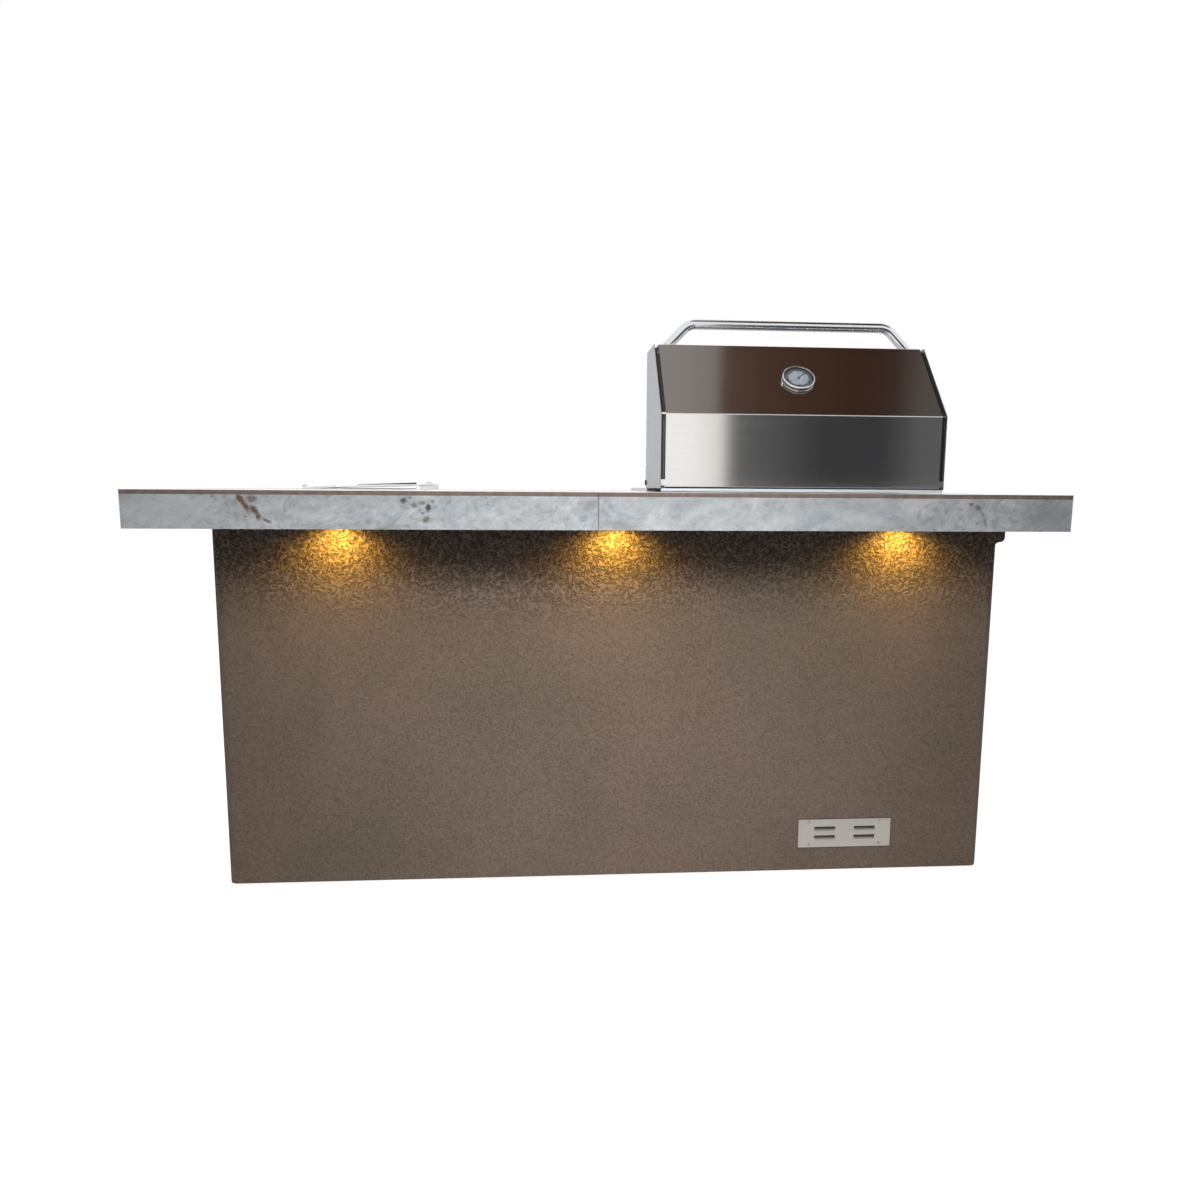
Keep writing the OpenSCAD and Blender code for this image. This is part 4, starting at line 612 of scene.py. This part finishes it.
marks = [
    # x, z, half width, half height, turn, strength, colour
    (-0.9, 0.872, 0.13, 0.06, 0, 0.45, (0.6, 0.64, 0.68)),
    (0.935, 0.87, 0.075, 0.05, 0.1, 0.5, (0.27, 0.288, 0.312)),
    (-0.62, 0.862, 0.05, 0.012, -0.25, 0.3, (0.6, 0.61, 0.61)),
    (-0.69, 0.885, 0.03, 0.02, 0, 0.35, (0.58, 0.59, 0.6)),
    (-0.25, 0.868, 0.08, 0.02, 0.15, 0.3, (0.52, 0.53, 0.53)),
    (0.2, 0.885, 0.07, 0.012, 0.25, 0.35, (0.6, 0.61, 0.61)),
    (0.52, 0.866, 0.09, 0.014, -0.2, 0.35, (0.6, 0.61, 0.61)),
    (-0.738, 0.884, 0.02, 0.032, 0.5, 0.35, (0.36, 0.34, 0.32)),
    (-0.7535, 0.897, 0.0075, 0.014, 0.6, 1.0, (0.13, 0.06, 0.028)),
    (-0.744, 0.884, 0.007, 0.014, 0.6, 1.0, (0.13, 0.065, 0.035)),
    (-0.738, 0.871, 0.0055, 0.01, 0.6, 0.7, (0.22, 0.16, 0.12)),
    (-0.73, 0.897, 0.013, 0.009, 0, 0.85, (0.12, 0.115, 0.11)),
    (-0.727, 0.875, 0.008, 0.013, 0.7, 1.0, (0.09, 0.065, 0.048)),
    (-0.719, 0.862, 0.006, 0.011, 0.3, 1.0, (0.09, 0.068, 0.048)),
    (-0.7445, 0.861, 0.004, 0.003, 0, 0.7, (0.15, 0.1, 0.06)),
    (-0.806, 0.901, 0.006, 0.004, 0, 0.7, (0.2, 0.13, 0.09)),
    (-0.799, 0.896, 0.004, 0.003, 0, 0.5, (0.22, 0.15, 0.1)),
    (-0.702, 0.853, 0.011, 0.0042, -0.45, 0.9, 0.1),
    (-0.43, 0.895, 0.009, 0.007, 0, 1.0, 0.06),
    (-0.409, 0.886, 0.009, 0.006, 0, 0.9, (0.09, 0.09, 0.08)),
    (-0.393, 0.891, 0.009, 0.006, 0, 0.8, (0.09, 0.12, 0.09)),
    (-0.381, 0.88, 0.007, 0.01, 0, 1.0, 0.05),
    (-0.398, 0.876, 0.004, 0.004, 0, 0.6, (0.15, 0.18, 0.12)),
    (-0.366, 0.882, 0.004, 0.004, 0, 0.4, (0.2, 0.18, 0.15)),
    (-0.385, 0.857, 0.01, 0.007, 0.4, 0.9, (0.13, 0.12, 0.07)),
    (-0.422, 0.844, 0.005, 0.004, 0, 0.5, (0.2, 0.2, 0.18)),
    (-0.418, 0.901, 0.006, 0.003, 0, 0.8, (0.1, 0.1, 0.09)),
    (-0.372, 0.893, 0.004, 0.004, 0, 0.8, (0.09, 0.09, 0.08)),
    (-0.392, 0.869, 0.005, 0.003, 0, 0.7, (0.12, 0.12, 0.09)),
    (-0.41, 0.892, 0.03, 0.012, 0.3, 0.35, (0.3, 0.31, 0.3)),
    (-0.295, 0.85, 0.018, 0.008, 0.4, 0.35, (0.28, 0.31, 0.32)),
    (-0.048, 0.888, 0.02, 0.014, 0.2, 0.7, (0.26, 0.27, 0.28)),
    (0.008, 0.846, 0.05, 0.011, -0.15, 0.6, (0.26, 0.28, 0.3)),
    (0.772, 0.888, 0.03, 0.02, 0.7, 0.45, (0.25, 0.26, 0.265)),
    (0.79, 0.862, 0.02, 0.012, 0.9, 0.4, (0.25, 0.26, 0.27)),
    (0.762, 0.893, 0.006, 0.007, 0.5, 0.85, (0.12, 0.125, 0.13)),
    (0.777, 0.886, 0.007, 0.009, 0.8, 0.85, (0.12, 0.125, 0.13)),
    (0.787, 0.873, 0.004, 0.009, 0.6, 0.7, (0.14, 0.145, 0.15)),
    (0.794, 0.855, 0.003, 0.013, 0.3, 0.7, (0.15, 0.155, 0.16)),
    (0.775, 0.853, 0.004, 0.003, 0, 0.7, 0.1),
    (0.925, 0.872, 0.022, 0.012, 0.5, 0.4, (0.27, 0.29, 0.31)),
]
for x, z, wide, high, turn, strength, colour in marks:
    spot = worked(band, "SUBTRACT", wobbled, (x, apron_face, z), kind="VectorMath")
    spot = wire(band, "Mapping", {"Vector": spot, "Rotation": (0, turn, 0)})
    spot = worked(band, "MULTIPLY", spot, (1 / wide, 4, 1 / high), kind="VectorMath")
    away = worked(band, "LENGTH", spot, kind="VectorMath", take="Value")
    share = ranged(band, away, 0.35, 1.15, strength, 0.0, interpolation_type="SMOOTHSTEP")
    clouded = mixed(band, share, clouded, opaque(colour))
threads = shades(band, pattern(band, 16, (1, 1, 1.5), 5, 2.2, (0, 0.5, 0)),
    (0.485, 0), (0.5, 0.32), (0.515, 0))
coloured(band, mixed(band, threads, clouded, (0.2, 0.225, 0.24, 1)))
gloss(band, pattern(band, 40), 0.26, 0.36)
for node in ("apron_bar_left", "apron_bar_right", "apron_ends", "apron_chef_side"):
    eased(node, 0.0006, "island", band, long_edge)

# Under-counter lights: three round cast housings let into the soffit, each with a frosted
# amber lens. They are on, and wash the stucco below the overhang.
lamp_metal = plain_finish("lamp_metal", (0.1, 0.095, 0.09), 0.4, 800, metallic=0.7)
gloss(lamp_metal, pattern(lamp_metal, 500), 0.3, 0.5)
eased("light_housings", 0.0005, "island", lamp_metal)
amber_lens = plain_finish("amber_lens", (1, 0.66, 0.25), 0.5, 700, 0.0002)
surface(amber_lens)["Emission Color"].default_value = (1, 0.62, 0.2, 1)
surface(amber_lens)["Emission Strength"].default_value = 6
eased("light_lenses", 0.0003, "island", amber_lens)
wash_tilt, wash_angle = radians(25), radians(160)
for x in (-0.5986, 0.01365, 0.6736):
    wash = bpy.data.lights.new("amber_wash", "SPOT")
    wash.color = (1, 0.585, 0.085)
    wash.energy = 3.2
    wash.spot_size = wash_angle
    wash.spot_blend = 0.75
    wash.shadow_soft_size = 0.01
    hung = stood("amber_wash", wash)
    hung.location = (x, -0.392, 0.8285)
    hung.rotation_euler = (wash_tilt, 0, 0)

# Light driver and cable: a white plastic box on the soffit board, and a black twin cable
# from it to the three lights, tee'd off in moulded joints.
driver_white = plain_finish("driver_white", (0.72, 0.72, 0.7), 0.45, 900)
eased("light_driver", 0.0015, "island", driver_white)
cable_black = plain_finish("cable_black", (0.02, 0.02, 0.021), 0.5, 600)
dress(cable_black, "light_cable")

# Ice bin: a deep-drawn stainless liner with a flange on the counter, in a foamed jacket,
# with a folded steel lid on two pins.
def on_flange_edge(face, spot):
    return spot.z > 0.9142 and (spot.y < -0.053 or spot.x > -0.459)


def on_lid_edge(face, spot):
    front = face.normal.y < -0.5 and spot.y < -0.052
    return front or face.normal.x > 0.5 or spot.z > 0.9305 and spot.x > -0.465


def joined(form, other):
    spare = bpy.data.meshes.new("spare")
    other.to_mesh(spare)
    form.from_mesh(spare)


long_grain = (0.03, 1, 1)
bin_steel = brushed("bin_steel", (0.6, 0.6, 0.6), 0.33, long_grain)
# Near-white painted highlight on the bar-side and right-hand faces of flange and lid.
painted_highlight_white = plain_finish("painted_highlight_white", 0.93, 0.5, 700, strength=0.4)
two_toned("ice_bin", 0.0006, "island", [bin_steel, painted_highlight_white], on_flange_edge)
jacket_skin = new_finish("jacket_skin", (0.6, 0.61, 0.6), 0.6)
relief(jacket_skin, pattern(jacket_skin, 60, detail=4), 0.001, 0.5)
eased("ice_bin_jacket", 0.003, "island", jacket_skin)
two_toned("ice_bin_lid", 0.0008, "ice_lid", [bin_steel, painted_highlight_white], on_lid_edge)
painted_gap_shade_black = plain_finish("painted_gap_shade_black", (0.03, 0.032, 0.035), 0.45, 900)
lid_slope, lid_axis, lid_under = sin(radians(1.7)), -0.758, 0.9218
# A black strip on the lid's bar-side edge, thicker to the right, is painted gap shade.
lid_gap_shade = block(bmesh.new(), (-0.612, -0.0546, -0.0007), (-0.4665, -0.0534, 0.0007))
for corner in lid_gap_shade.verts:
    if corner.co.x > -0.5:
        corner.co.z *= 2.6
    corner.co.z += lid_under + (corner.co.x - lid_axis) * lid_slope
settle("lid_edge_trim", lid_gap_shade, "ice_lid", [painted_gap_shade_black])
strainer = turned([(0, 0), (0.0088, 0), (0.0088, 0.0012), (0.0075, 0.0018), (0.0048, 0.0018),
    (0.0045, 0.0014), (0, 0.0014)], 24)
for k in range(4):
    bar = block(bmesh.new(), (-0.0088, -0.0006, 0.0004), (0.0088, 0.0006, 0.0021))
    bar.transform(Matrix.Rotation(k * pi / 4, 4, "Z"))
    joined(strainer, bar)
strainer.transform(Matrix.Translation((-0.608, 0.15635, 0.6505)))
settle("drain_strainer", strainer, "island", [screw_steel])
dress(screw_steel, "ice_bin_lid_pins")

# Firebox: folded and welded stainless sheet with a rim that rests on the slabs, ledges for
# the grates and brackets for the hood. Heat has tinted it inside.
firebox_steel = brushed("firebox_steel", (0.5, 0.49, 0.47), 0.38, long_grain)
tinted(firebox_steel, pattern(firebox_steel, 7, detail=4), (0.35, (0.34, 0.31, 0.27)),
    (0.55, (0.5, 0.48, 0.45)), (0.7, (0.56, 0.55, 0.53)))
# The firebox's left end faces take the same near-white painted highlight.
left_wall = 0.1286
two_toned("grill_firebox", 0.0006, "island", [firebox_steel, painted_highlight_white],
    lambda face, spot: spot.x < left_wall)

# Burners, flame tamers and grates: stainless tubes with ports along both sides, folded
# steel roofs that keep grease off them, and cast iron grates on top.
burner_steel = plain_finish("burner_steel", (0.42, 0.38, 0.34), 0.42, 500, strength=0.4,
    metallic=1.0)
tinted(burner_steel, pattern(burner_steel, 25, (3, 1, 1), 4), (0.3, (0.3, 0.24, 0.2)),
    (0.7, (0.5, 0.47, 0.43)))
dress(burner_steel, "burners", "flame_tamers")
# Each port is a near-black disc: soot round it and painted shade for the hole.
port_soot_and_shade = plain_finish("port_soot_and_shade", (0.012, 0.011, 0.01), 0.8, 2500)
burner_xs = (0.2565, 0.4735, 0.6905)
port_layout = [((x + side * 0.0104, 0.078 + 0.0115 * k, 0.824), (0, side * pi / 3, 0))
    for x in burner_xs for side in (-1, 1) for k in range(26)]
set_in_place("burner_ports", turned([(0, -0.0003), (0.0013, -0.0003), (0.0013, 0.00012),
    (0, 0.00012)], 10), port_layout, "island", port_soot_and_shade)
cast_iron = new_finish("cast_iron", (0.035, 0.034, 0.033), 0.55)
tinted(cast_iron, pattern(cast_iron, 30, detail=4), (0.3, (0.022, 0.021, 0.02)),
    (0.7, (0.055, 0.052, 0.05)))
relief(cast_iron, pattern(cast_iron, 420, detail=3), 0.0006, 0.7)
eased("cooking_grates", 0.0015, "island", cast_iron)
rack_chrome = new_finish("rack_chrome", 0.66, 0.16, 1.0)
gloss(rack_chrome, pattern(rack_chrome, 300), 0.12, 0.26)
dress(rack_chrome, "warming_rack")

# Gas manifold and supply: brass tube, valves and cock, screwed and soldered together, with a
# union nut at the foot where the supply line joins.
gas_brass = new_finish("gas_brass", (0.62, 0.42, 0.16), 0.32, 1.0)
tinted(gas_brass, pattern(gas_brass, 35, detail=4), (0.3, (0.5, 0.32, 0.12)),
    (0.7, (0.7, 0.5, 0.22)))
gloss(gas_brass, pattern(gas_brass, 120), 0.24, 0.42)
dress(gas_brass, "gas_manifold", "gas_supply_pipe")

# Control panel: a folded stainless fascia on the chef side, with three bezels pressed
# round the valve stems, black knobs and a piezo igniter.
panel_steel = brushed("panel_steel", (0.5, 0.492, 0.478), 0.3, long_grain, 0.13)
eased("control_panel", 0.0012, "island", panel_steel)
eased("knob_bezels", 0.0008, "island", rack_chrome)
knob_black = plain_finish("knob_black", (0.025, 0.025, 0.026), 0.38, 1100, strength=0.4)
gloss(knob_black, pattern(knob_black, 260), 0.3, 0.46)
pointer_white = plain_finish("pointer_white", (0.8, 0.8, 0.78), 0.5, 1200, 0.00005, 0.4)
for side, x in zip(("left", "middle", "right"), burner_xs):
    eased("knob_" + side, 0.0012, side + "_knob", knob_black)
    pointer = block(bmesh.new(), (x - 0.001, 0.503, 0.884), (x + 0.001, 0.5222, 0.88625))
    settle("knob_pointer_" + side, edge_broken(pointer, 0.0002), side + "_knob",
        [pointer_white])
eased("igniter_button", 0.001, "igniter", knob_black)
mark_ink = plain_finish("mark_ink", (0.03, 0.03, 0.032), 0.5, 1500, 0.00003, 0.4)
igniter_x, panel_y, knob_z = 0.365, 0.49132, 0.862
flame_layout = [((x + reach * sin(a), panel_y, knob_z + reach * cos(a)), (0, a, 0))
    for places, reach, turns in ((burner_xs, 0.0375, range(0, 211, 35)),
    ((igniter_x,), 0.0165, (-30, 0, 30)))
    for x in places for a in map(radians, turns)]
set_in_place("flame_marks", block(bmesh.new(), (-0.0005, 0, -0.002), (0.0005, 0.00014, 0.002)),
    flame_layout, "island", mark_ink)
panel_layout = [((x, 0.4914, z), (-pi / 2, 0, 0.5 * k))
    for k, (x, z) in enumerate([(x, z) for x in (0.142, 0.805) for z in (0.815, 0.908)])]
set_in_place("panel_fixings", pan_head(0.0038, 0.0016, 0.0018, 0.003), panel_layout,
    "island", screw_steel)

# Drip tray: a folded stainless pan that slides on the firebox's runners below the burners,
# with a fascia bent over into a finger pull.
eased("drip_tray", 0.0005, "tray", panel_steel)

# Hood: a skin of brushed stainless sheet bent at three folds, held between two end caps by
# tabs, with a darker liner inside. It stands open on two pins in the firebox brackets.
hood_steel = brushed("hood_steel", (0.66, 0.655, 0.65), 0.12, (0.01, 1, 1), 0.02)
surface(hood_steel)["Anisotropic"].default_value = 0.8
feed(hood_steel, wire(hood_steel, "Tangent", direction_type="RADIAL", axis="X"), "Tangent")
hinge_y, hinge_z, sheet = 0.05135, 0.9367, 0.0015
cap_left, skin_left, skin_right, cap_right = 0.13, 0.14, 0.807, 0.817


def folded(path, bend):
    """The path in (y, z) with an arc of that radius, in six steps, at each inner corner."""
    points = [Vector(path[0])]
    for before, corner, after in zip(path, path[1:], path[2:]):
        corner = Vector(corner)
        back, on = (Vector(before) - corner).normalized(), (Vector(after) - corner).normalized()
        half = back.angle(on) / 2
        reach = bend / tan(half)
        middle = corner + (back + on).normalized() * (bend / sin(half))
        first, last = corner + back * reach - middle, corner + on * reach - middle
        begin = atan2(first.y, first.x)
        sweep = atan2(first.x * last.y - first.y * last.x, first.dot(last))
        for k in range(7):
            a = begin + sweep * k / 6
            points.append(middle + bend * Vector((cos(a), sin(a))))
    points.append(Vector(path[-1]))
    return points


def sheet_along_x(form, points, thick, x0, x1):
    """A strip of sheet that follows the points in (y, z), its thickness to the inside."""
    inner = []
    for k, point in enumerate(points):
        before = points[k - 1] if k else point
        after = points[k + 1] if k + 1 < len(points) else point
        run = (after - before).normalized()
        inner.append(point + Vector((run.y, -run.x)) * thick)
    rows = [[form.verts.new((x, p.x, p.y)) for p in line] for line in (points, inner)
        for x in (x0, x1)]
    outer0, outer1, inner0, inner1 = rows
    for k in range(len(points) - 1):
        form.faces.new((outer0[k], outer0[k + 1], outer1[k + 1], outer1[k]))
        form.faces.new((inner0[k], inner1[k], inner1[k + 1], inner0[k + 1]))
        form.faces.new((outer0[k], inner0[k], inner0[k + 1], outer0[k + 1]))
        form.faces.new((outer1[k], outer1[k + 1], inner1[k + 1], inner1[k]))
    for k in (0, len(points) - 1):
        form.faces.new((outer0[k], outer1[k], inner1[k], inner0[k]))


def from_hinge(*pairs):
    """Points in (y, z) from millimetres out of and along the open hood."""
    return [(hinge_y - along / 1000, hinge_z + out / 1000) for out, along in pairs]


skin = bmesh.new()
outline = from_hinge((-14, 0), (-14, 301), (160, 301), (340, 138), (340, -14))
sheet_along_x(skin, folded(outline, 0.005), sheet, skin_left, skin_right)
for x0, x1 in ((cap_left, skin_left), (skin_right, cap_right)):
    for low, high in ((-7, 7), (158, 162)):
        tab = from_hinge((low, 301), (high, 301))
        sheet_along_x(skin, [Vector(p) for p in tab], sheet, x0, x1)
bmesh.ops.recalc_face_normals(skin, faces=skin.faces)
hem_painted_shade = brushed("hem_painted_shade", (0.05, 0.05, 0.05), 0.5, (0.01, 1, 1))
hem_height, inside_y, inside_z = 0.932, -0.1, 1.08


# Painted shade on the hem's lower bend and on the skin's inner faces.
def shaded(face, spot):
    low_hem = spot.z < hem_height and face.normal.z < -0.25 and face.normal.y < -0.01
    return low_hem or face.normal.dot(Vector((spot.x, inside_y, inside_z)) - spot) > 0.01


settle("hood_shell", second_finish(skin, shaded), "hood",
    [hood_steel, hem_painted_shade], ["hood_skin"])
# A pale strip in the gap under the hem is a painted reflection of the counter.
painted_reflection_grey = new_finish("painted_reflection_grey", (0.62, 0.655, 0.69), 0.6)
relief(painted_reflection_grey, pattern(painted_reflection_grey, 500, (0.2, 1, 1)), 0.0002, 0.5)
hem_reflection_strip = block(bmesh.new(), (0.1305, -0.2495, 0.9158), (0.8165, -0.2475, 0.9228))
settle("hood_hem_seal", edge_broken(hem_reflection_strip, 0.0006), "hood", [painted_reflection_grey])
# Black blocks below the tabs are painted shade in the gap between skin and caps.
stops = bmesh.new()
for x in (0.1303, 0.8077):
    block(stops, (x, -0.2494, 0.9238), (x + 0.009, -0.2479, 0.9293))
settle("hood_corner_stops", stops, "hood", [painted_gap_shade_black])
liner_steel = brushed("liner_steel", (0.3, 0.29, 0.28), 0.4, (0.02, 1, 1))
dress(liner_steel, "hood_liner")
upright_grain = (1, 1, 0.03)
cap_steel = new_finish("cap_steel", (0.37, 0.385, 0.41), 0.38, 0.9)
gloss(cap_steel, pattern(cap_steel, 700, (1, 0.1, 1)), 0.3, 0.46)
relief(cap_steel, pattern(cap_steel, 6), 0.0004, 0.25)
reveal_painted_shade = brushed("reveal_painted_shade", (0.07, 0.062, 0.058), 0.45, upright_grain)
# The caps' inner faces, in the reveal between cap and skin, take painted shade.
hood_middle, cap_inside = 0.4735, 0.343
for node in ("hood_end_left", "hood_end_right"):
    two_toned(node, 0.0006, "hood", [cap_steel, reveal_painted_shade],
        lambda face, spot: abs(spot.x - hood_middle) < cap_inside)
# The rivet heads take the near-white painted highlight.
rivet = turned([(0, -0.001), (0.004, -0.001), (0.004, 0.0004), (0.003, 0.0016), (0, 0.0021)], 20)
set_in_place("hood_rivets", rivet, [((x, 0.046, z), (0, turn, 0))
    for x, turn in ((0.1281, -pi / 2), (0.8189, pi / 2)) for z in (0.985, 1.034)],
    "hood", painted_highlight_white)
pin_black = plain_finish("pin_black", (0.03, 0.03, 0.032), 0.4, 900, metallic=0.8)
dress(pin_black, "hood_hinge_pins")

# Hood handle: one stainless tube, polished, bent at both ends and welded with a bead at each
# foot to the hood's front panel.
handle_steel = new_finish("handle_steel", (0.74, 0.76, 0.79), 0.13, 1.0)
drawn = pattern(handle_steel, 500, long_grain, 2)
gloss(handle_steel, drawn, 0.1, 0.22)
relief(handle_steel, drawn, 0.00004, 0.5)
handle_y, handle_z, foot_z, straight_half, bend = -0.05665, 1.3307, 1.2757, 0.236, 0.045
arc = [(hood_middle - straight_half - bend * sin(a), handle_z - bend * (1 - cos(a)))
    for a in [radians(45) * (1 - k / 8) for k in range(9)]]
leg = (arc[0][0] - (arc[0][1] - foot_z), foot_z)
half = [leg] + arc
whole = half + [(2 * hood_middle - x, z) for x, z in reversed(half)]
handle = tube_along(bmesh.new(), [(x, handle_y, z) for x, z in whole], 0.0125)
for side in (-1, 1):
    foot = hood_middle + side * (hood_middle - leg[0] - 0.0005)
    weld = [(foot + 0.0178 * cos(a), handle_y + 0.0127 * sin(a), foot_z + 0.0015)
        for a in around(48)]
    tube_along(handle, weld, 0.0016, 8, True)
bmesh.ops.recalc_face_normals(handle, faces=handle.faces)
settle("handle_tube", handle, "hood", [handle_steel], ["hood_handle"])

# Thermometer: a chromed case with a lug, screwed through the hood; a white enamelled dial
# with printed marks and numbers, a black needle and a domed glass.
dial_centre = Vector((hood_middle, -0.16815, 1.1867))
dial_turn = Matrix(((1, 0, 0), (0, 0.6713, -0.7413), (0, 0.7413, 0.6713)))
dial_face, first_mark, last_mark = 0.005, -45, -315


def on_dial(form):
    form.transform(Matrix.Translation(dial_centre) @ dial_turn.to_4x4())
    return form


def on_case_wall(face, spot):
    return abs(face.normal.z) < 0.3 and spot.z < 0.0076 and spot.xy.length < 0.0401


def around_dial(share, reach):
    a = radians(first_mark + (last_mark - first_mark) * share)
    return a, (-sin(a) * reach, cos(a) * reach)


chrome = new_finish("chrome", (0.72, 0.73, 0.74), 0.1, 1.0)
gloss(chrome, pattern(chrome, 200), 0.06, 0.16)
# The case's side walls take a dark brown painted shade.
case_wall_painted_shade = new_finish("case_wall_painted_shade", (0.1, 0.075, 0.062), 0.35, 1.0)
gloss(case_wall_painted_shade, pattern(case_wall_painted_shade, 200), 0.3, 0.42)
case = turned([(0, 0.0005), (0.0352, 0.0005), (0.0355, 0.0078), (0.0362, 0.0092), (0.0378, 0.0096),
    (0.0392, 0.009), (0.04, 0.0074), (0.04, 0.002), (0.0392, 0.0004), (0.0392, 0), (0, 0)], 72)
lug = edge_broken(block(bmesh.new(), (0.0385, -0.004, 0.0004), (0.0445, 0.004, 0.0062)), 0.0012)
lug.transform(Matrix.Rotation(radians(200), 4, "Z"))
joined(case, lug)
joined(case, turned([(0, -0.034), (0.003, -0.0335), (0.005, -0.03), (0.005, 0), (0, 0)], 24))
settle("thermometer_rim", on_dial(second_finish(case, on_case_wall)), "hood",
    [chrome, case_wall_painted_shade], ["thermometer_case"])
enamel = new_finish("dial_enamel", (0.36, 0.4, 0.46), 0.3)
from_middle = worked(enamel, "DISTANCE", place_on(enamel), dial_centre + dial_turn
    @ Vector((0, 0, dial_face)), kind="VectorMath", take="Value")
# The dial darkens to near black in a ring at its edge: painted shade under the rim.
dial_tone_and_painted_rim_shade = shades(enamel, ranged(enamel, from_middle, 0.0, 0.036), (0.0, (0.26, 0.29, 0.34)),
    (0.66, (0.23, 0.26, 0.31)), (0.71, (0.045, 0.05, 0.062)), (1.0, (0.03, 0.034, 0.042)))
mottled = shades(enamel, pattern(enamel, 60), (0.3, 0.94), (0.7, 1.04))
coloured(enamel, mixed(enamel, 1.0, dial_tone_and_painted_rim_shade, mottled, "MULTIPLY"))
plate = turned([(0, 0.004), (0.0351, 0.004), (0.0351, 0.0048), (0.0347, dial_face),
    (0.0016, dial_face), (0.0015, 0.0072), (0, 0.0073)], 64)
settle("dial_plate", on_dial(plate), "hood", [enamel], ["thermometer_dial"])
dial_ink = plain_finish("dial_ink", (0.02, 0.02, 0.022), 0.5, 2000, 0.00002, 0.3)
tick_layout = []
for k in range(41):
    a, place = around_dial(k / 40, 0.0315)
    tick_layout.append((dial_centre + dial_turn @ Vector((*place, dial_face)),
        (dial_turn @ Matrix.Rotation(a, 3, "Z")).to_euler()))
short_ticks = [tick for k, tick in enumerate(tick_layout) if k % 5]
for name, length, width, ticks in (("dial_long_ticks", 0.0045, 0.0007, tick_layout[::5]),
        ("dial_short_ticks", 0.0025, 0.0004, short_ticks)):
    tick = block(bmesh.new(), (-width / 2, -length / 2, 0), (width / 2, length / 2, 0.00012))
    set_in_place(name, tick, ticks, "hood", dial_ink)
for k, number in enumerate(("0", "100", "200", "300", "400")):
    word = bpy.data.curves.new("dial_number_" + number, "FONT")
    word.body = number
    word.size = 0.0062
    word.align_x, word.align_y = "CENTER", "CENTER"
    word.extrude = 0.00006
    drawn = stood("dial_number_" + number, word)
    form = bmesh.new()
    form.from_mesh(plain_mesh(drawn))
    bpy.data.objects.remove(drawn)
    a, place = around_dial(k / 4, 0.0235)
    form.transform(Matrix.Translation((*place, dial_face + 0.0001))
        @ Matrix.Rotation(pi, 4, "Z"))
    settle("dial_number_" + number, on_dial(form), "hood", [dial_ink])
needle_black = plain_finish("needle_black", (0.03, 0.028, 0.03), 0.4, 900, 0.00005, 0.4)
eased("thermometer_needle", 0.0002, "needle", needle_black)
dial_glass = new_finish("dial_glass", 1, 0.02)
surface(dial_glass)["Transmission Weight"].default_value = 1.0
surface(dial_glass)["IOR"].default_value = 1.15
relief(dial_glass, pattern(dial_glass, 40), 0.00002, 0.2)
glass = turned([(0, 0.0077), (0.0351, 0.0077), (0.0351, 0.0084), (0.025, 0.0088), (0.012, 0.0091),
    (0, 0.0092)], 64)
settle("dial_cover", on_dial(glass), "hood", [dial_glass], ["thermometer_glass"])

# Cabinet doors: stainless leaves with a folded rim round a hollow back, on pins in a flanged
# frame, with tube pulls held by two screws each from inside the leaf.
door_steel = brushed("door_steel", (0.49, 0.484, 0.472), 0.32, upright_grain, 0.13)
eased("door_frame", 0.0006, "island", panel_steel)
eased("door_left", 0.0014, "left_door", door_steel)
eased("door_right", 0.0014, "right_door", door_steel)
dress(screw_steel, "door_pins")
for side, x in (("left", 0.4375), ("right", 0.5095)):
    set_in_place("door_fixings_" + side, pan_head(0.004, 0.0018, 0.0019, 0.004),
        [((x, 0.441, z), (pi / 2, 0, 0)) for z in (0.296, 0.484)], side + "_door",
        screw_steel)

# Drawers: folded stainless boxes with double-walled fronts and tube pulls, on slides in a
# flanged frame of their own.
eased("drawer_frame", 0.0006, "island", panel_steel)
eased("drawer_top", 0.0012, "top_drawer", panel_steel)
eased("drawer_bottom", 0.0012, "bottom_drawer", panel_steel)
